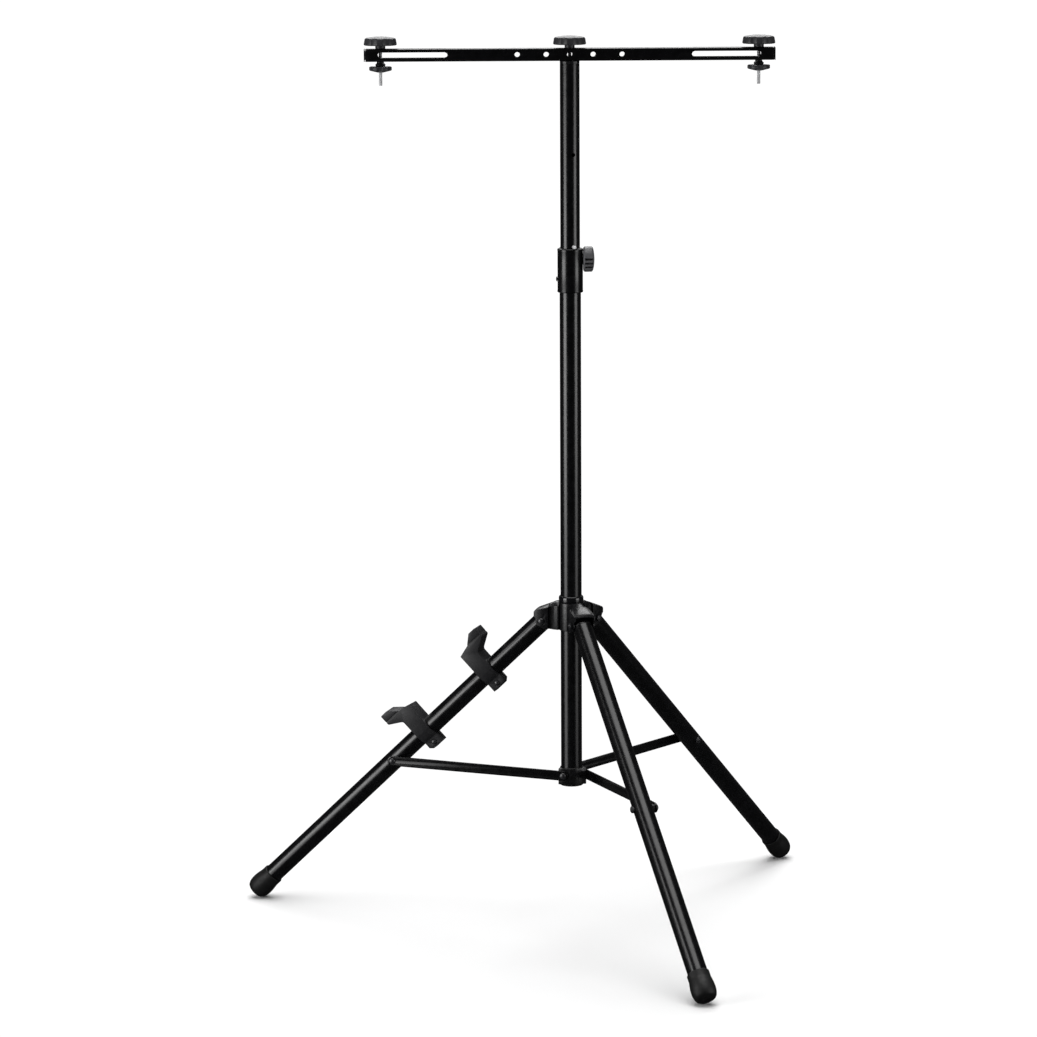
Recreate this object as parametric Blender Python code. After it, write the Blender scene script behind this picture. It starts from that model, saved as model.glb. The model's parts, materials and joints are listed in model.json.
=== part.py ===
"""Folding work-light tripod with a telescopic mast and a slotted lamp crossbar.

The tripod is modelled standing with its legs spread, in metres, +Z up.  The crossbar
runs along X.  The origin lies on the floor at the middle of the footprint's box.
Every separate piece is its own object; pieces that move hang from an empty that
lies on their joint's axis.
"""

from math import acos, asin, atan2, ceil, cos, hypot, pi, radians, sin, sqrt

import bmesh
import bpy
from mathutils import Matrix, Vector

# Clearances between neighbouring pieces
TOUCH_GAP = 0.0003
TELESCOPE_GAP = 0.0003
SLIDE_GAP = 0.0003
BOLT_CLEARANCE = 0.0003
SAME_HEIGHT = 0.000002

# Mast: fixed lower tube and telescopic upper tube
MAST_TUBE_RADIUS = 0.0175
TUBE_WALL = 0.0012
MAST_TUBE_LENGTH = 0.860
UPPER_TUBE_LENGTH = 0.860
UPPER_TUBE_ABOVE_PIN = 0.2972
PIN_HOLE_PITCH = 0.150
PIN_HOLES_ABOVE = 1
PIN_HOLES_BELOW = 2
PIN_AZIMUTH = -69.7
PIN_RADIUS = 0.0029
PIN_NOSE = 0.0075
PIN_HEAD_RADIUS = 0.0042
PIN_HEAD_LENGTH = 0.006
PIN_EDGE = 0.0008
PIN_HEAD_CLEARANCE = 0.0012
PIN_RING_RADIUS = 0.0105
PIN_RING_WIRE = 0.0009
PIN_EYE_CLEARANCE = 0.0010

# Clamp collar at the top of the lower tube, with its clamp knob
COLLAR_LENGTH = 0.072
COLLAR_GRIP = 0.0365
COLLAR_WALL = 0.0030
COLLAR_LIP = 0.0016
COLLAR_RIM_CHAMFER = 0.0012
CLAMP_BELOW_TOP = 0.0178
CLAMP_BOSS_RADIUS = 0.0090
CLAMP_BOSS_LENGTH = 0.0012
CLAMP_STUD_RADIUS = 0.0040
CLAMP_PAD_THICKNESS = 0.0022
CLAMP_KNOB_RADIUS = 0.0210
CLAMP_KNOB_LENGTH = 0.0170
RIVET_RADIUS = 0.0022
RIVET_HEAD_RADIUS = 0.0045
RIVET_HEAD_HEIGHT = 0.0022

# Legs
LEG_AZIMUTHS = (163.55, 290.55, 47.05)
LEG_SPREAD = 46.0
LEG_FOLDED = 2.5
LEG_PIVOT_RADIUS = 0.0467
LEG_LENGTH = 0.718
LEG_TUBE_RADIUS = 0.016
LEG_TUBE_START = 0.006
LEG_TONGUE_RADIUS = 0.0103
LEG_SHOULDER = 0.0045
LEG_SPIGOT_LENGTH = 0.030
FOOT_BORE_DEPTH = 0.040
FOOT_FLOOR = 0.007
FOOT_SKIRT = 0.0022
FOOT_BULGE = 0.0041

# Hub that slides on the mast and carries the legs
HUB_BUSH_WALL = 0.0011
HUB_WALL = 0.0015
HUB_RIM_HEIGHT = 0.0020
LEG_NOTCH_GAP = 0.0004
NECK_LAP = 0.0004
HUB_ABOVE_PIVOT = 0.0313
HUB_BELOW_PIVOT = 0.0150
HUB_RING_HEIGHT = 0.0110
HUB_RING_LIP = 0.0016
CLEVIS_CHEEK = 0.0018
CLEVIS_SIDE_GAP = 0.0004
CLEVIS_BACK = 0.0012
CLEVIS_REACH = 0.0130
CLEVIS_TOP_OUTER = 0.0190
CLEVIS_TOP_INNER = 0.0288
CLEVIS_TOP_CHAMFER = 0.0035
CLEVIS_TOP_CHAMFER_RISE = 0.0014
CLEVIS_CROWN_OUTER = 0.0018
CLEVIS_CROWN_INNER = 0.0044
CLEVIS_BLANK_BOTTOM = -0.04
CLEVIS_BOTTOM = 0.0128
CLEVIS_HEEL = 0.0055
CLEVIS_FRONT_EDGE = 0.0090
CLEVIS_ROOF = 0.0034
CLEVIS_LOBE_RADIUS = 0.0098
NECK_HALF_WIDTH = 0.0135
NECK_FLARE = 0.0013
NECK_FLARE_LENGTH = 0.0040
NECK_TOP = 0.0284
NECK_RISE_PLACE = 0.0085
NECK_RISE_TOP = 0.0325
NECK_ROOT_TOP = 0.0332
NECK_BOTTOM_DROP = 0.0010
NECK_CROWN = 0.0070
CROWN_POWER = 3.5
HUB_KNOB_AZIMUTH = 105.30
HUB_KNOB_HEIGHT = 0.0060
HUB_KNOB_RADIUS = 0.0140
HUB_KNOB_LENGTH = 0.0130
HUB_STUD_RADIUS = 0.0030

# Bolts at the pivots
PIVOT_BOLT_RADIUS = 0.0030
BOLT_HEAD_RADIUS = 0.0056
BOLT_HEAD_HEIGHT = 0.0034
NUT_RADIUS = 0.0058
NUT_HEIGHT = 0.0040
BOLT_TAIL = 0.0010
NUT_CORNER_CHAMFER = 0.12

# Braces and the bracket at the mast's foot that they hinge on
BRACE_DROP = 0.2600
BRACE_PIVOT_RADIUS = 0.009
LEG_BRACE_DISTANCE = 0.3625
BRACE_HALF_WIDTH = 0.00825
BRACE_THICKNESS = 0.0030
BRACKET_WALL = 0.0013
BRACKET_FLOOR = 0.0020
BRACKET_BELOW_PIVOT = 0.0182
BRACKET_ABOVE_PIVOT = 0.0126
PAD_HALF_WIDTH = 0.0085
PAD_STANDOFF = 0.0002
SPACER_RADIUS = 0.0062

# Crossbar and its fittings
BAR_LENGTH = 0.662
BAR_HEIGHT = 0.0205
BAR_DEPTH = 0.0250
BAR_WALL = 0.0020
BAR_CORNER = 0.0022
BAR_CAP_FLANGE = 0.0026
BAR_CAP_INSET = 0.0001
BAR_CAP_PLUG = 0.0120
SLOT_OUTER = 0.3116
SLOT_INNER = 0.1978
SLOT_WIDTH = 0.0094
BAR_HOLE_RADIUS = 0.0045
BAR_HOLE_PLACES = (0.0, 0.038, 0.0850)
TOP_PLUG_FLANGE = 0.0042
TOP_PLUG_DEPTH = 0.0300
STUD_RADIUS = 0.0030
KNOB_RADIUS = 0.0268
KNOB_HEIGHT = 0.0148
KNOB_NECK_RADIUS = 0.0082
KNOB_NECK_HEIGHT = 0.0048
KNOB_LOBES = 8
KNOB_LOBE_DEPTH = 0.0016
SPACER_HEIGHT = 0.0072
SPACER_NECK_RADIUS = 0.0058
SPACER_BULGE_RADIUS = 0.0082
STAR_NUT_RADIUS = 0.0184
STAR_NUT_HEIGHT = 0.0098
STAR_NUT_LOBES = 6
STAR_NUT_LOBE_DEPTH = 0.0018
STUD_BELOW_NUT = 0.0215

# Cable hooks clamped on the first leg
HOOK_DISTANCES = (0.1335, 0.2875)
HOOK_HALF_LENGTH = 0.0140
HOOK_HALF_WIDTH = 0.0192
HOOK_RING_RADIUS = 0.0190
HOOK_RING_INSET = 0.0004
HOOK_THROAT_ARC = 0.006
HOOK_NOSE_ARC = 0.0035
HOOK_ARM_HEIGHT = 0.0490
HOOK_LIP_ROOT = 0.0545
HOOK_LIP_ROOT_INSET = 0.0215
HOOK_LIP_START = 0.0100
HOOK_LIP_HEIGHT = 0.0680
HOOK_FINGER_REACH = 0.0235
HOOK_FINGER_UNDERSIDE = 0.0475
HOOK_THROAT_HEIGHT = 0.0320
HOOK_GROOVE_WIDTH = 0.0030
HOOK_GROOVE_DEPTH = 0.0012
HOOK_EAR_DEPTH = 0.0320
HOOK_EAR_HALF_WIDTH = 0.0100
HOOK_SPLIT = 0.0030
HOOK_SCREW_DEPTH = 0.0242
HOOK_SCREW_RADIUS = 0.0025
HOOK_SCREW_HEAD = 0.0046
HOOK_NUT_HEIGHT = 0.0035
HOOK_SCREW_TAIL = 0.0010

# Facets of round forms
TUBE_FACETS = 24
SMALL_FACETS = 12
HIDDEN_FACETS = 16
KNOB_FACETS = 40
FOOT_FACETS = 20
STAR_NUT_FACETS = 30
ARCH_STEPS = 8
SPACER_FACETS = 18

# Sizes worked out from those above
UPPER_TUBE_RADIUS = MAST_TUBE_RADIUS - TUBE_WALL - TELESCOPE_GAP
LEG_TUBE_BORE = LEG_TUBE_RADIUS - TUBE_WALL
CLEVIS_GAP_HALF = LEG_TUBE_RADIUS + CLEVIS_SIDE_GAP
CLEVIS_HALF_WIDTH = CLEVIS_GAP_HALF + CLEVIS_CHEEK
CLEVIS_START = LEG_TONGUE_RADIUS + TOUCH_GAP + CLEVIS_BACK
BRACKET_RADIUS = MAST_TUBE_RADIUS + TOUCH_GAP + BRACKET_WALL
PAD_FACE = BRACKET_RADIUS + PAD_STANDOFF
BRACE_INNER_FACE = PAD_FACE + TOUCH_GAP
BRACE_OUTER_FACE = BRACE_INNER_FACE + BRACE_THICKNESS
BUSH_BORE = MAST_TUBE_RADIUS + SLIDE_GAP
BUSH_RADIUS = BUSH_BORE + HUB_BUSH_WALL
HUB_RADIUS = BUSH_RADIUS + TOUCH_GAP + HUB_WALL
HUB_RING_RADIUS = BUSH_RADIUS + HUB_RING_LIP
COLLAR_RADIUS = MAST_TUBE_RADIUS + TOUCH_GAP + COLLAR_WALL
COLLAR_BORE = UPPER_TUBE_RADIUS + TELESCOPE_GAP


def foot_profile():
    """Outer outline of a rubber foot: (radius, distance up from its end)."""
    skirt = LEG_TUBE_RADIUS + FOOT_SKIRT
    bulge = LEG_TUBE_RADIUS + FOOT_BULGE
    return [
        (bulge - 0.0095, 0.0),
        (bulge - 0.0050, 0.0012),
        (bulge - 0.0022, 0.0045),
        (bulge - 0.0006, 0.0100),
        (bulge, 0.0165),
        (bulge - 0.0002, 0.0235),
        (skirt + 0.0006, 0.0320),
        (skirt, 0.0360),
        (skirt, FOOT_FLOOR + FOOT_BORE_DEPTH - 0.0010),
        (skirt - 0.0006, FOOT_FLOOR + FOOT_BORE_DEPTH),
    ]


def pivot_height():
    """Height of the leg pivots at which the spread feet just touch the floor."""
    tilt = radians(LEG_SPREAD)
    lowest = min(along * cos(tilt) - radius * sin(tilt) for radius, along in foot_profile())
    return LEG_LENGTH * cos(tilt) - lowest


LEG_PIVOT_HEIGHT = pivot_height()
BRACE_PIVOT_HEIGHT = LEG_PIVOT_HEIGHT - BRACE_DROP
BRACE_RUN = LEG_PIVOT_RADIUS + LEG_BRACE_DISTANCE * sin(radians(LEG_SPREAD)) - BRACE_PIVOT_RADIUS
BRACE_RISE = BRACE_DROP - LEG_BRACE_DISTANCE * cos(radians(LEG_SPREAD))
BRACE_LENGTH = hypot(BRACE_RUN, BRACE_RISE)
BRACE_ANGLE = atan2(BRACE_RUN, BRACE_RISE)
MAST_TUBE_BOTTOM = BRACE_PIVOT_HEIGHT - BRACKET_BELOW_PIVOT + BRACKET_FLOOR + TOUCH_GAP
MAST_TUBE_TOP = MAST_TUBE_BOTTOM + MAST_TUBE_LENGTH
COLLAR_BOTTOM = MAST_TUBE_TOP - COLLAR_GRIP
COLLAR_TOP = COLLAR_BOTTOM + COLLAR_LENGTH
CLAMP_HEIGHT = COLLAR_TOP - CLAMP_BELOW_TOP
RIVET_HEIGHT = MAST_TUBE_TOP - 0.4 * COLLAR_GRIP
PIN_HEIGHT = COLLAR_TOP + PIN_RADIUS + TOUCH_GAP
UPPER_TUBE_TOP = PIN_HEIGHT + UPPER_TUBE_ABOVE_PIN
UPPER_TUBE_BOTTOM = UPPER_TUBE_TOP - UPPER_TUBE_LENGTH
BAR_BOTTOM = UPPER_TUBE_TOP + TOP_PLUG_FLANGE + 2 * TOUCH_GAP
BAR_TOP = BAR_BOTTOM + BAR_HEIGHT
CLAMP_STUD_PLACE = SLOT_OUTER - SLOT_WIDTH / 2


def clear_scene():
    for item in list(bpy.data.objects):
        bpy.data.objects.remove(item, do_unlink=True)


# Modelling tools


def paint(name, colour, roughness, metallic):
    """A plain Principled BSDF material for one object."""
    material = bpy.data.materials.new(name)
    material.use_nodes = True
    shader = material.node_tree.nodes["Principled BSDF"]
    shader.inputs["Base Color"].default_value = (*colour, 1.0)
    shader.inputs["Roughness"].default_value = roughness
    shader.inputs["Metallic"].default_value = metallic
    return material


FINISHES = {
    "powder_coat": ((0.012, 0.012, 0.014), 0.32, 0.0),
    "cast_coat": ((0.020, 0.020, 0.022), 0.48, 0.0),
    "moulded": ((0.045, 0.045, 0.048), 0.55, 0.0),
    "nylon": ((0.015, 0.015, 0.017), 0.35, 0.0),
    "rubber": ((0.010, 0.010, 0.010), 0.60, 0.0),
    "zinc": ((0.72, 0.73, 0.74), 0.28, 1.0),
    "brass": ((0.70, 0.52, 0.24), 0.35, 1.0),
}


def frame(name, parent, matrix):
    """An empty that stands on a joint's axis and carries the pieces that move on it."""
    empty = bpy.data.objects.new(name, None)
    bpy.context.scene.collection.objects.link(empty)
    empty.empty_display_size = 0.02
    empty.parent = parent
    empty.matrix_local = matrix
    return empty


def piece(name, mesh_data, finish, parent, matrix=Matrix.Identity(4)):
    """One named object from a finished bmesh."""
    mesh = bpy.data.meshes.new(name)
    mesh_data.to_mesh(mesh)
    mesh_data.free()
    mesh.shade_smooth()
    mesh.set_sharp_from_angle(angle=radians(32))
    mesh.materials.append(paint(name, *FINISHES[finish]))
    item = bpy.data.objects.new(name, mesh)
    bpy.context.scene.collection.objects.link(item)
    item.parent = parent
    item.matrix_local = matrix
    return item


def turned(profile, facets=TUBE_FACETS, closed=False):
    """Revolve a (radius, height) profile about Z; an open one starts and ends on the axis."""
    shape = bmesh.new()
    points = [shape.verts.new((radius, 0.0, height)) for radius, height in profile]
    edges = [shape.edges.new(pair) for pair in zip(points, points[1:])]
    if closed:
        edges.append(shape.edges.new((points[-1], points[0])))
    bmesh.ops.spin(
        shape,
        geom=points + edges,
        cent=(0, 0, 0),
        axis=(0, 0, 1),
        angle=2 * pi,
        steps=facets,
        use_merge=True,
    )
    bmesh.ops.remove_doubles(shape, verts=shape.verts, dist=1e-6)
    poles = [vertex for vertex in shape.verts if hypot(vertex.co.x, vertex.co.y) < 1e-6]
    bmesh.ops.dissolve_verts(shape, verts=poles)
    bmesh.ops.recalc_face_normals(shape, faces=shape.faces)
    return shape


def solid_rod(radius, low, high, chamfer=0.0, facets=SMALL_FACETS):
    """A solid cylinder along Z from low to high, with chamfered ends."""
    if chamfer:
        profile = [
            (0.0, low),
            (radius - chamfer, low),
            (radius, low + chamfer),
            (radius, high - chamfer),
            (radius - chamfer, high),
            (0.0, high),
        ]
    else:
        profile = [(0.0, low), (radius, low), (radius, high), (0.0, high)]
    return turned(profile, facets)


def pipe(outer, inner, low, high, chamfer=0.0, facets=TUBE_FACETS):
    """A hollow cylinder along Z, open at both ends."""
    if chamfer:
        profile = [
            (inner, low),
            (outer - chamfer, low),
            (outer, low + chamfer),
            (outer, high - chamfer),
            (outer - chamfer, high),
            (inner, high),
        ]
    else:
        profile = [(inner, low), (outer, low), (outer, high), (inner, high)]
    return turned(profile, facets, closed=True)


def arc(centre, radius, start, end, steps):
    """Points on a circular arc; angles in degrees."""
    angles = [radians(start + (end - start) * step / steps) for step in range(steps + 1)]
    return [(centre[0] + radius * cos(angle), centre[1] + radius * sin(angle)) for angle in angles]


def rounded_rectangle(half_x, half_y, corner, steps=2):
    """Outline of a rectangle with round corners, anticlockwise."""
    outline = []
    for sign_x, sign_y, start in ((1, 1, 0), (-1, 1, 90), (-1, -1, 180), (1, -1, 270)):
        centre = (sign_x * (half_x - corner), sign_y * (half_y - corner))
        outline += arc(centre, corner, start, start + 90, steps)
    return outline


def prism(outline, low, high):
    """Extrude an anticlockwise outline in XY from low to high along Z."""
    shape = bmesh.new()
    base = shape.faces.new([shape.verts.new((x, y, low)) for x, y in outline])
    grown = bmesh.ops.extrude_face_region(shape, geom=[base])
    risen = [item for item in grown["geom"] if isinstance(item, bmesh.types.BMVert)]
    bmesh.ops.translate(shape, verts=risen, vec=(0, 0, high - low))
    bmesh.ops.recalc_face_normals(shape, faces=shape.faces)
    return shape


def box(low, high):
    """A box between two corners."""
    outline = [(low[0], low[1]), (high[0], low[1]), (high[0], high[1]), (low[0], high[1])]
    return prism(outline, low[2], high[2])


def moved(shape, matrix):
    bmesh.ops.transform(shape, matrix=matrix, verts=shape.verts)
    return shape


def lofted(rings):
    """Skin closed rings of equal point counts and cap both ends."""
    shape = bmesh.new()
    rows = [[shape.verts.new(point) for point in ring] for ring in rings]
    count = len(rows[0])
    for lower, upper in zip(rows, rows[1:]):
        for index in range(count):
            after = (index + 1) % count
            shape.faces.new((lower[index], lower[after], upper[after], upper[index]))
    shape.faces.new(list(reversed(rows[0])))
    shape.faces.new(rows[-1])
    bmesh.ops.recalc_face_normals(shape, faces=shape.faces)
    return shape


def temporary_object(shape):
    mesh = bpy.data.meshes.new("workpiece")
    shape.to_mesh(mesh)
    shape.free()
    item = bpy.data.objects.new("workpiece", mesh)
    bpy.context.scene.collection.objects.link(item)
    return item


def combined(shape, tools, operation):
    """Apply exact Boolean tools one after another and return the finished bmesh."""
    body = temporary_object(shape)
    cutters = [temporary_object(tool) for tool in tools]
    for cutter in cutters:
        cutter.hide_render = True
        cutter.display_type = "WIRE"
        step = body.modifiers.new("boolean", "BOOLEAN")
        step.operation = operation
        step.solver = "EXACT"
        step.object = cutter
    graph = bpy.context.evaluated_depsgraph_get()
    result = bmesh.new()
    result.from_mesh(body.evaluated_get(graph).to_mesh())
    for item in [body, *cutters]:
        bpy.data.objects.remove(item, do_unlink=True)
    return result


def cut(shape, *tools):
    return combined(shape, tools, "DIFFERENCE")


def joined(shape, *tools):
    return combined(shape, tools, "UNION")


def along_x():
    """Turns the Z axis of a turned form to +X."""
    return Matrix.Rotation(pi / 2, 4, "Y")


def along_y():
    """Turns the Z axis of a turned form to +Y."""
    return Matrix.Rotation(-pi / 2, 4, "X")


def upright_in_xz():
    """Stands an XY outline up in the XZ plane, its extrusion along +Y."""
    return Matrix(((1, 0, 0, 0), (0, 0, 1, 0), (0, 1, 0, 0), (0, 0, 0, 1)))


def prism_xz(outline, half_width, centre=0.0):
    """Extrude an outline in XZ by half_width to both sides along Y."""
    shape = prism(outline, centre - half_width, centre + half_width)
    moved(shape, upright_in_xz())
    bmesh.ops.recalc_face_normals(shape, faces=shape.faces)
    return shape


def drill(radius, centre, direction, half_length, facets=SMALL_FACETS):
    """A cutter cylinder through centre along X, Y or Z."""
    shape = solid_rod(radius, -half_length, half_length, facets=facets)
    turn = {"X": along_x(), "Y": along_y(), "Z": Matrix.Identity(4)}[direction]
    return moved(shape, Matrix.Translation(centre) @ turn)


def downward(distance):
    return Matrix.Translation((0, 0, -distance))


def azimuth_turn(degrees):
    return Matrix.Rotation(radians(degrees), 4, "Z")


def button_bolt(shank_length, head_radius=BOLT_HEAD_RADIUS, shank_radius=PIVOT_BOLT_RADIUS):
    """A domed bolt: head above Z = 0, shank below it."""
    height = BOLT_HEAD_HEIGHT
    profile = [
        (0.0, -shank_length),
        (shank_radius, -shank_length),
        (shank_radius, 0.0),
        (head_radius, 0.0),
        (head_radius, 0.25 * height),
        (0.80 * head_radius, 0.72 * height),
        (0.40 * head_radius, height),
        (0.0, height),
    ]
    return turned(profile, SMALL_FACETS)


def hexagon(radius, low, high):
    """A hexagonal body with chamfered corners at both ends."""
    edge = NUT_CORNER_CHAMFER * radius
    levels = [(low, radius - edge), (low + edge / 2, radius), (high - edge / 2, radius), (high, radius - edge)]
    rings = []
    for height, reach in levels:
        rings.append([(reach * cos(pi * k / 3), reach * sin(pi * k / 3), height) for k in range(6)])
    return lofted(rings)


# Mast pieces


def mast_lower_tube(parent):
    shape = pipe(MAST_TUBE_RADIUS, MAST_TUBE_RADIUS - TUBE_WALL, MAST_TUBE_BOTTOM, MAST_TUBE_TOP)
    rivet_hole = drill(RIVET_RADIUS + BOLT_CLEARANCE, (-MAST_TUBE_RADIUS, 0, RIVET_HEIGHT), "X", 0.006)
    piece("mast_lower_tube", cut(shape, rivet_hole), "powder_coat", parent)


def clamp_collar(parent):
    """Cast sleeve that grips the lower tube, guides the upper tube and carries the clamp."""
    rim = COLLAR_RIM_CHAMFER
    seat = COLLAR_BOTTOM + COLLAR_GRIP + TOUCH_GAP
    lip = COLLAR_RADIUS + 0.0003
    profile = [
        (MAST_TUBE_RADIUS + TOUCH_GAP, COLLAR_BOTTOM),
        (lip - rim, COLLAR_BOTTOM),
        (lip, COLLAR_BOTTOM + rim),
        (lip, COLLAR_BOTTOM + rim + COLLAR_LIP),
        (COLLAR_RADIUS, COLLAR_BOTTOM + 2 * rim + COLLAR_LIP),
        (COLLAR_RADIUS, COLLAR_TOP - 2 * rim - COLLAR_LIP),
        (lip, COLLAR_TOP - rim - COLLAR_LIP),
        (lip, COLLAR_TOP - rim),
        (lip - rim, COLLAR_TOP),
        (COLLAR_BORE, COLLAR_TOP),
        (COLLAR_BORE, seat),
        (MAST_TUBE_RADIUS + TOUCH_GAP, seat),
    ]
    boss_end = COLLAR_RADIUS + CLAMP_BOSS_LENGTH
    boss = solid_rod(CLAMP_BOSS_RADIUS, MAST_TUBE_RADIUS + 0.002, boss_end, facets=32)
    moved(boss, Matrix.Translation((0, 0, CLAMP_HEIGHT)) @ along_x())
    pocket = drill(
        CLAMP_STUD_RADIUS + BOLT_CLEARANCE,
        (COLLAR_RADIUS, 0, CLAMP_HEIGHT),
        "X",
        COLLAR_RADIUS - COLLAR_BORE + 0.002,
    )
    rivet_hole = drill(RIVET_RADIUS + BOLT_CLEARANCE, (-COLLAR_RADIUS, 0, RIVET_HEIGHT), "X", 0.006)
    shape = joined(turned(profile, closed=True), boss)
    piece("clamp_collar", cut(shape, pocket, rivet_hole), "powder_coat", parent)


def collar_rivet(parent):
    """Blind rivet that ties the collar to the lower tube, on the left of the mast."""
    tail = COLLAR_RADIUS + TOUCH_GAP - (MAST_TUBE_RADIUS - TUBE_WALL)
    profile = [
        (0.0, -tail),
        (RIVET_RADIUS, -tail),
        (RIVET_RADIUS, 0.0),
        (RIVET_HEAD_RADIUS, 0.0),
        (RIVET_HEAD_RADIUS, 0.25 * RIVET_HEAD_HEIGHT),
        (0.70 * RIVET_HEAD_RADIUS, 0.80 * RIVET_HEAD_HEIGHT),
        (0.35 * RIVET_HEAD_RADIUS, RIVET_HEAD_HEIGHT),
        (0.0, RIVET_HEAD_HEIGHT),
    ]
    place = Matrix.Translation((-COLLAR_RADIUS - TOUCH_GAP, 0, RIVET_HEIGHT)) @ Matrix.Rotation(-pi / 2, 4, "Y")
    piece("collar_rivet", moved(turned(profile, SMALL_FACETS), place), "zinc", parent)


def clamp_pad(parent):
    """Brass pad between the clamp stud and the upper tube."""
    near = UPPER_TUBE_RADIUS + TELESCOPE_GAP
    shape = solid_rod(CLAMP_STUD_RADIUS, near, near + CLAMP_PAD_THICKNESS, chamfer=0.0003)
    moved(shape, Matrix.Translation((0, 0, CLAMP_HEIGHT)) @ along_x())
    piece("clamp_pad", shape, "brass", parent)


def grip_outline(radius, depth, lobes, phase=0.0, facets=KNOB_FACETS):
    """Radius at each facet of a grip whose rim is scalloped between its lobes."""
    radii = []
    for index in range(facets):
        wave = cos(lobes * (2 * pi * index / facets) + phase)
        radii.append(radius - depth * max(0.0, -wave) ** 0.7)
    return radii


def grip_body(levels, radii_of):
    """Loft a grip from (height, radius, scallop) levels."""
    rings = []
    for height, radius, scallop in levels:
        radii = radii_of(radius, scallop)
        step = 2 * pi / len(radii)
        rings.append([(r * cos(k * step), r * sin(k * step), height) for k, r in enumerate(radii)])
    return lofted(rings)


def clamp_knob_radii(radius, depth):
    """Two smooth quadrants and two quadrants with grip grooves."""
    facets = 72
    radii = []
    for index in range(facets):
        turn = 360.0 * index / facets
        ribbed = (turn % 180.0) < 90.0
        groove = ribbed and index % 4 == 2
        radii.append(radius - (depth if groove else 0.0))
    return radii


def clamp_knob(parent):
    """Hand knob of the collar clamp: moulded grip on a threaded stud, turning about +X."""
    base = COLLAR_RADIUS + CLAMP_BOSS_LENGTH + TOUCH_GAP
    length = CLAMP_KNOB_LENGTH
    levels = [
        (base, 0.60 * CLAMP_KNOB_RADIUS, 0.0),
        (base, CLAMP_KNOB_RADIUS - 0.0012, 0.0),
        (base + 0.0012, CLAMP_KNOB_RADIUS, 0.0014),
        (base + length - 0.0022, CLAMP_KNOB_RADIUS, 0.0014),
        (base + length, CLAMP_KNOB_RADIUS - 0.0020, 0.0),
        (base + length + 0.0004, 0.60 * CLAMP_KNOB_RADIUS, 0.0),
    ]
    shape = grip_body(levels[1:], clamp_knob_radii)
    stud_bore = solid_rod(CLAMP_STUD_RADIUS + TOUCH_GAP, base - 0.01, base + 0.7 * length)
    piece("clamp_knob_grip", cut(shape, stud_bore), "moulded", parent, along_x())
    tip = UPPER_TUBE_RADIUS + TELESCOPE_GAP + CLAMP_PAD_THICKNESS + TOUCH_GAP
    stud = solid_rod(CLAMP_STUD_RADIUS, tip, base + 0.7 * length - TOUCH_GAP, chamfer=0.0005)
    piece("clamp_knob_stud", stud, "zinc", parent, along_x())


def base_bracket(parent):
    """Cup on the mast's foot with three flat pads set as a pinwheel for the braces."""
    low = BRACE_PIVOT_HEIGHT - BRACKET_BELOW_PIVOT
    high = BRACE_PIVOT_HEIGHT + BRACKET_ABOVE_PIVOT
    cup = solid_rod(BRACKET_RADIUS, low, high, chamfer=0.0006, facets=TUBE_FACETS)
    pads = []
    holes = []
    for turn in map(azimuth_turn, LEG_AZIMUTHS):
        pad = box(
            (BRACE_PIVOT_RADIUS - PAD_HALF_WIDTH, 0.002, low + 0.003),
            (BRACE_PIVOT_RADIUS + PAD_HALF_WIDTH, PAD_FACE, high - 0.001),
        )
        pads.append(moved(pad, turn))
        hole = drill(
            PIVOT_BOLT_RADIUS + BOLT_CLEARANCE,
            (BRACE_PIVOT_RADIUS, PAD_FACE, BRACE_PIVOT_HEIGHT),
            "Y",
            0.0075,
        )
        holes.append(moved(hole, turn))
    bore = solid_rod(
        MAST_TUBE_RADIUS + TOUCH_GAP,
        low + BRACKET_FLOOR,
        high + 0.01,
        facets=TUBE_FACETS,
    )
    shape = cut(joined(cup, *pads), bore, *holes)
    piece("base_bracket", shape, "cast_coat", parent)


def brace_inner_bolts(parent):
    """Shoulder bolts that the braces' inner ends turn on."""
    head_seat = BRACE_OUTER_FACE + TOUCH_GAP
    tube_face = sqrt(MAST_TUBE_RADIUS**2 - (BRACE_PIVOT_RADIUS - PIVOT_BOLT_RADIUS) ** 2)
    length = head_seat - tube_face - TOUCH_GAP
    place = Matrix.Translation((BRACE_PIVOT_RADIUS, head_seat, BRACE_PIVOT_HEIGHT)) @ along_y()
    for number, azimuth in enumerate(LEG_AZIMUTHS, start=1):
        bolt = moved(button_bolt(length), azimuth_turn(azimuth) @ place)
        piece(f"brace_inner_bolt_{number}", bolt, "powder_coat", parent)


# Telescopic upper mast


def upper_pin_holes():
    steps = range(-PIN_HOLES_BELOW, PIN_HOLES_ABOVE + 1)
    return [PIN_HEIGHT + step * PIN_HOLE_PITCH for step in steps]


def mast_upper_tube(parent):
    origin = parent.matrix_world.translation.z
    shape = pipe(UPPER_TUBE_RADIUS, UPPER_TUBE_RADIUS - TUBE_WALL, UPPER_TUBE_BOTTOM, UPPER_TUBE_TOP)
    holes = []
    for height in upper_pin_holes():
        hole = drill(PIN_RADIUS + BOLT_CLEARANCE, (0, 0, 0), "X", 0.03)
        holes.append(moved(hole, Matrix.Translation((0, 0, height)) @ azimuth_turn(PIN_AZIMUTH)))
    shape = cut(shape, *holes)
    piece("mast_upper_tube", shape, "powder_coat", parent, Matrix.Translation((0, 0, -origin)))


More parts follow.
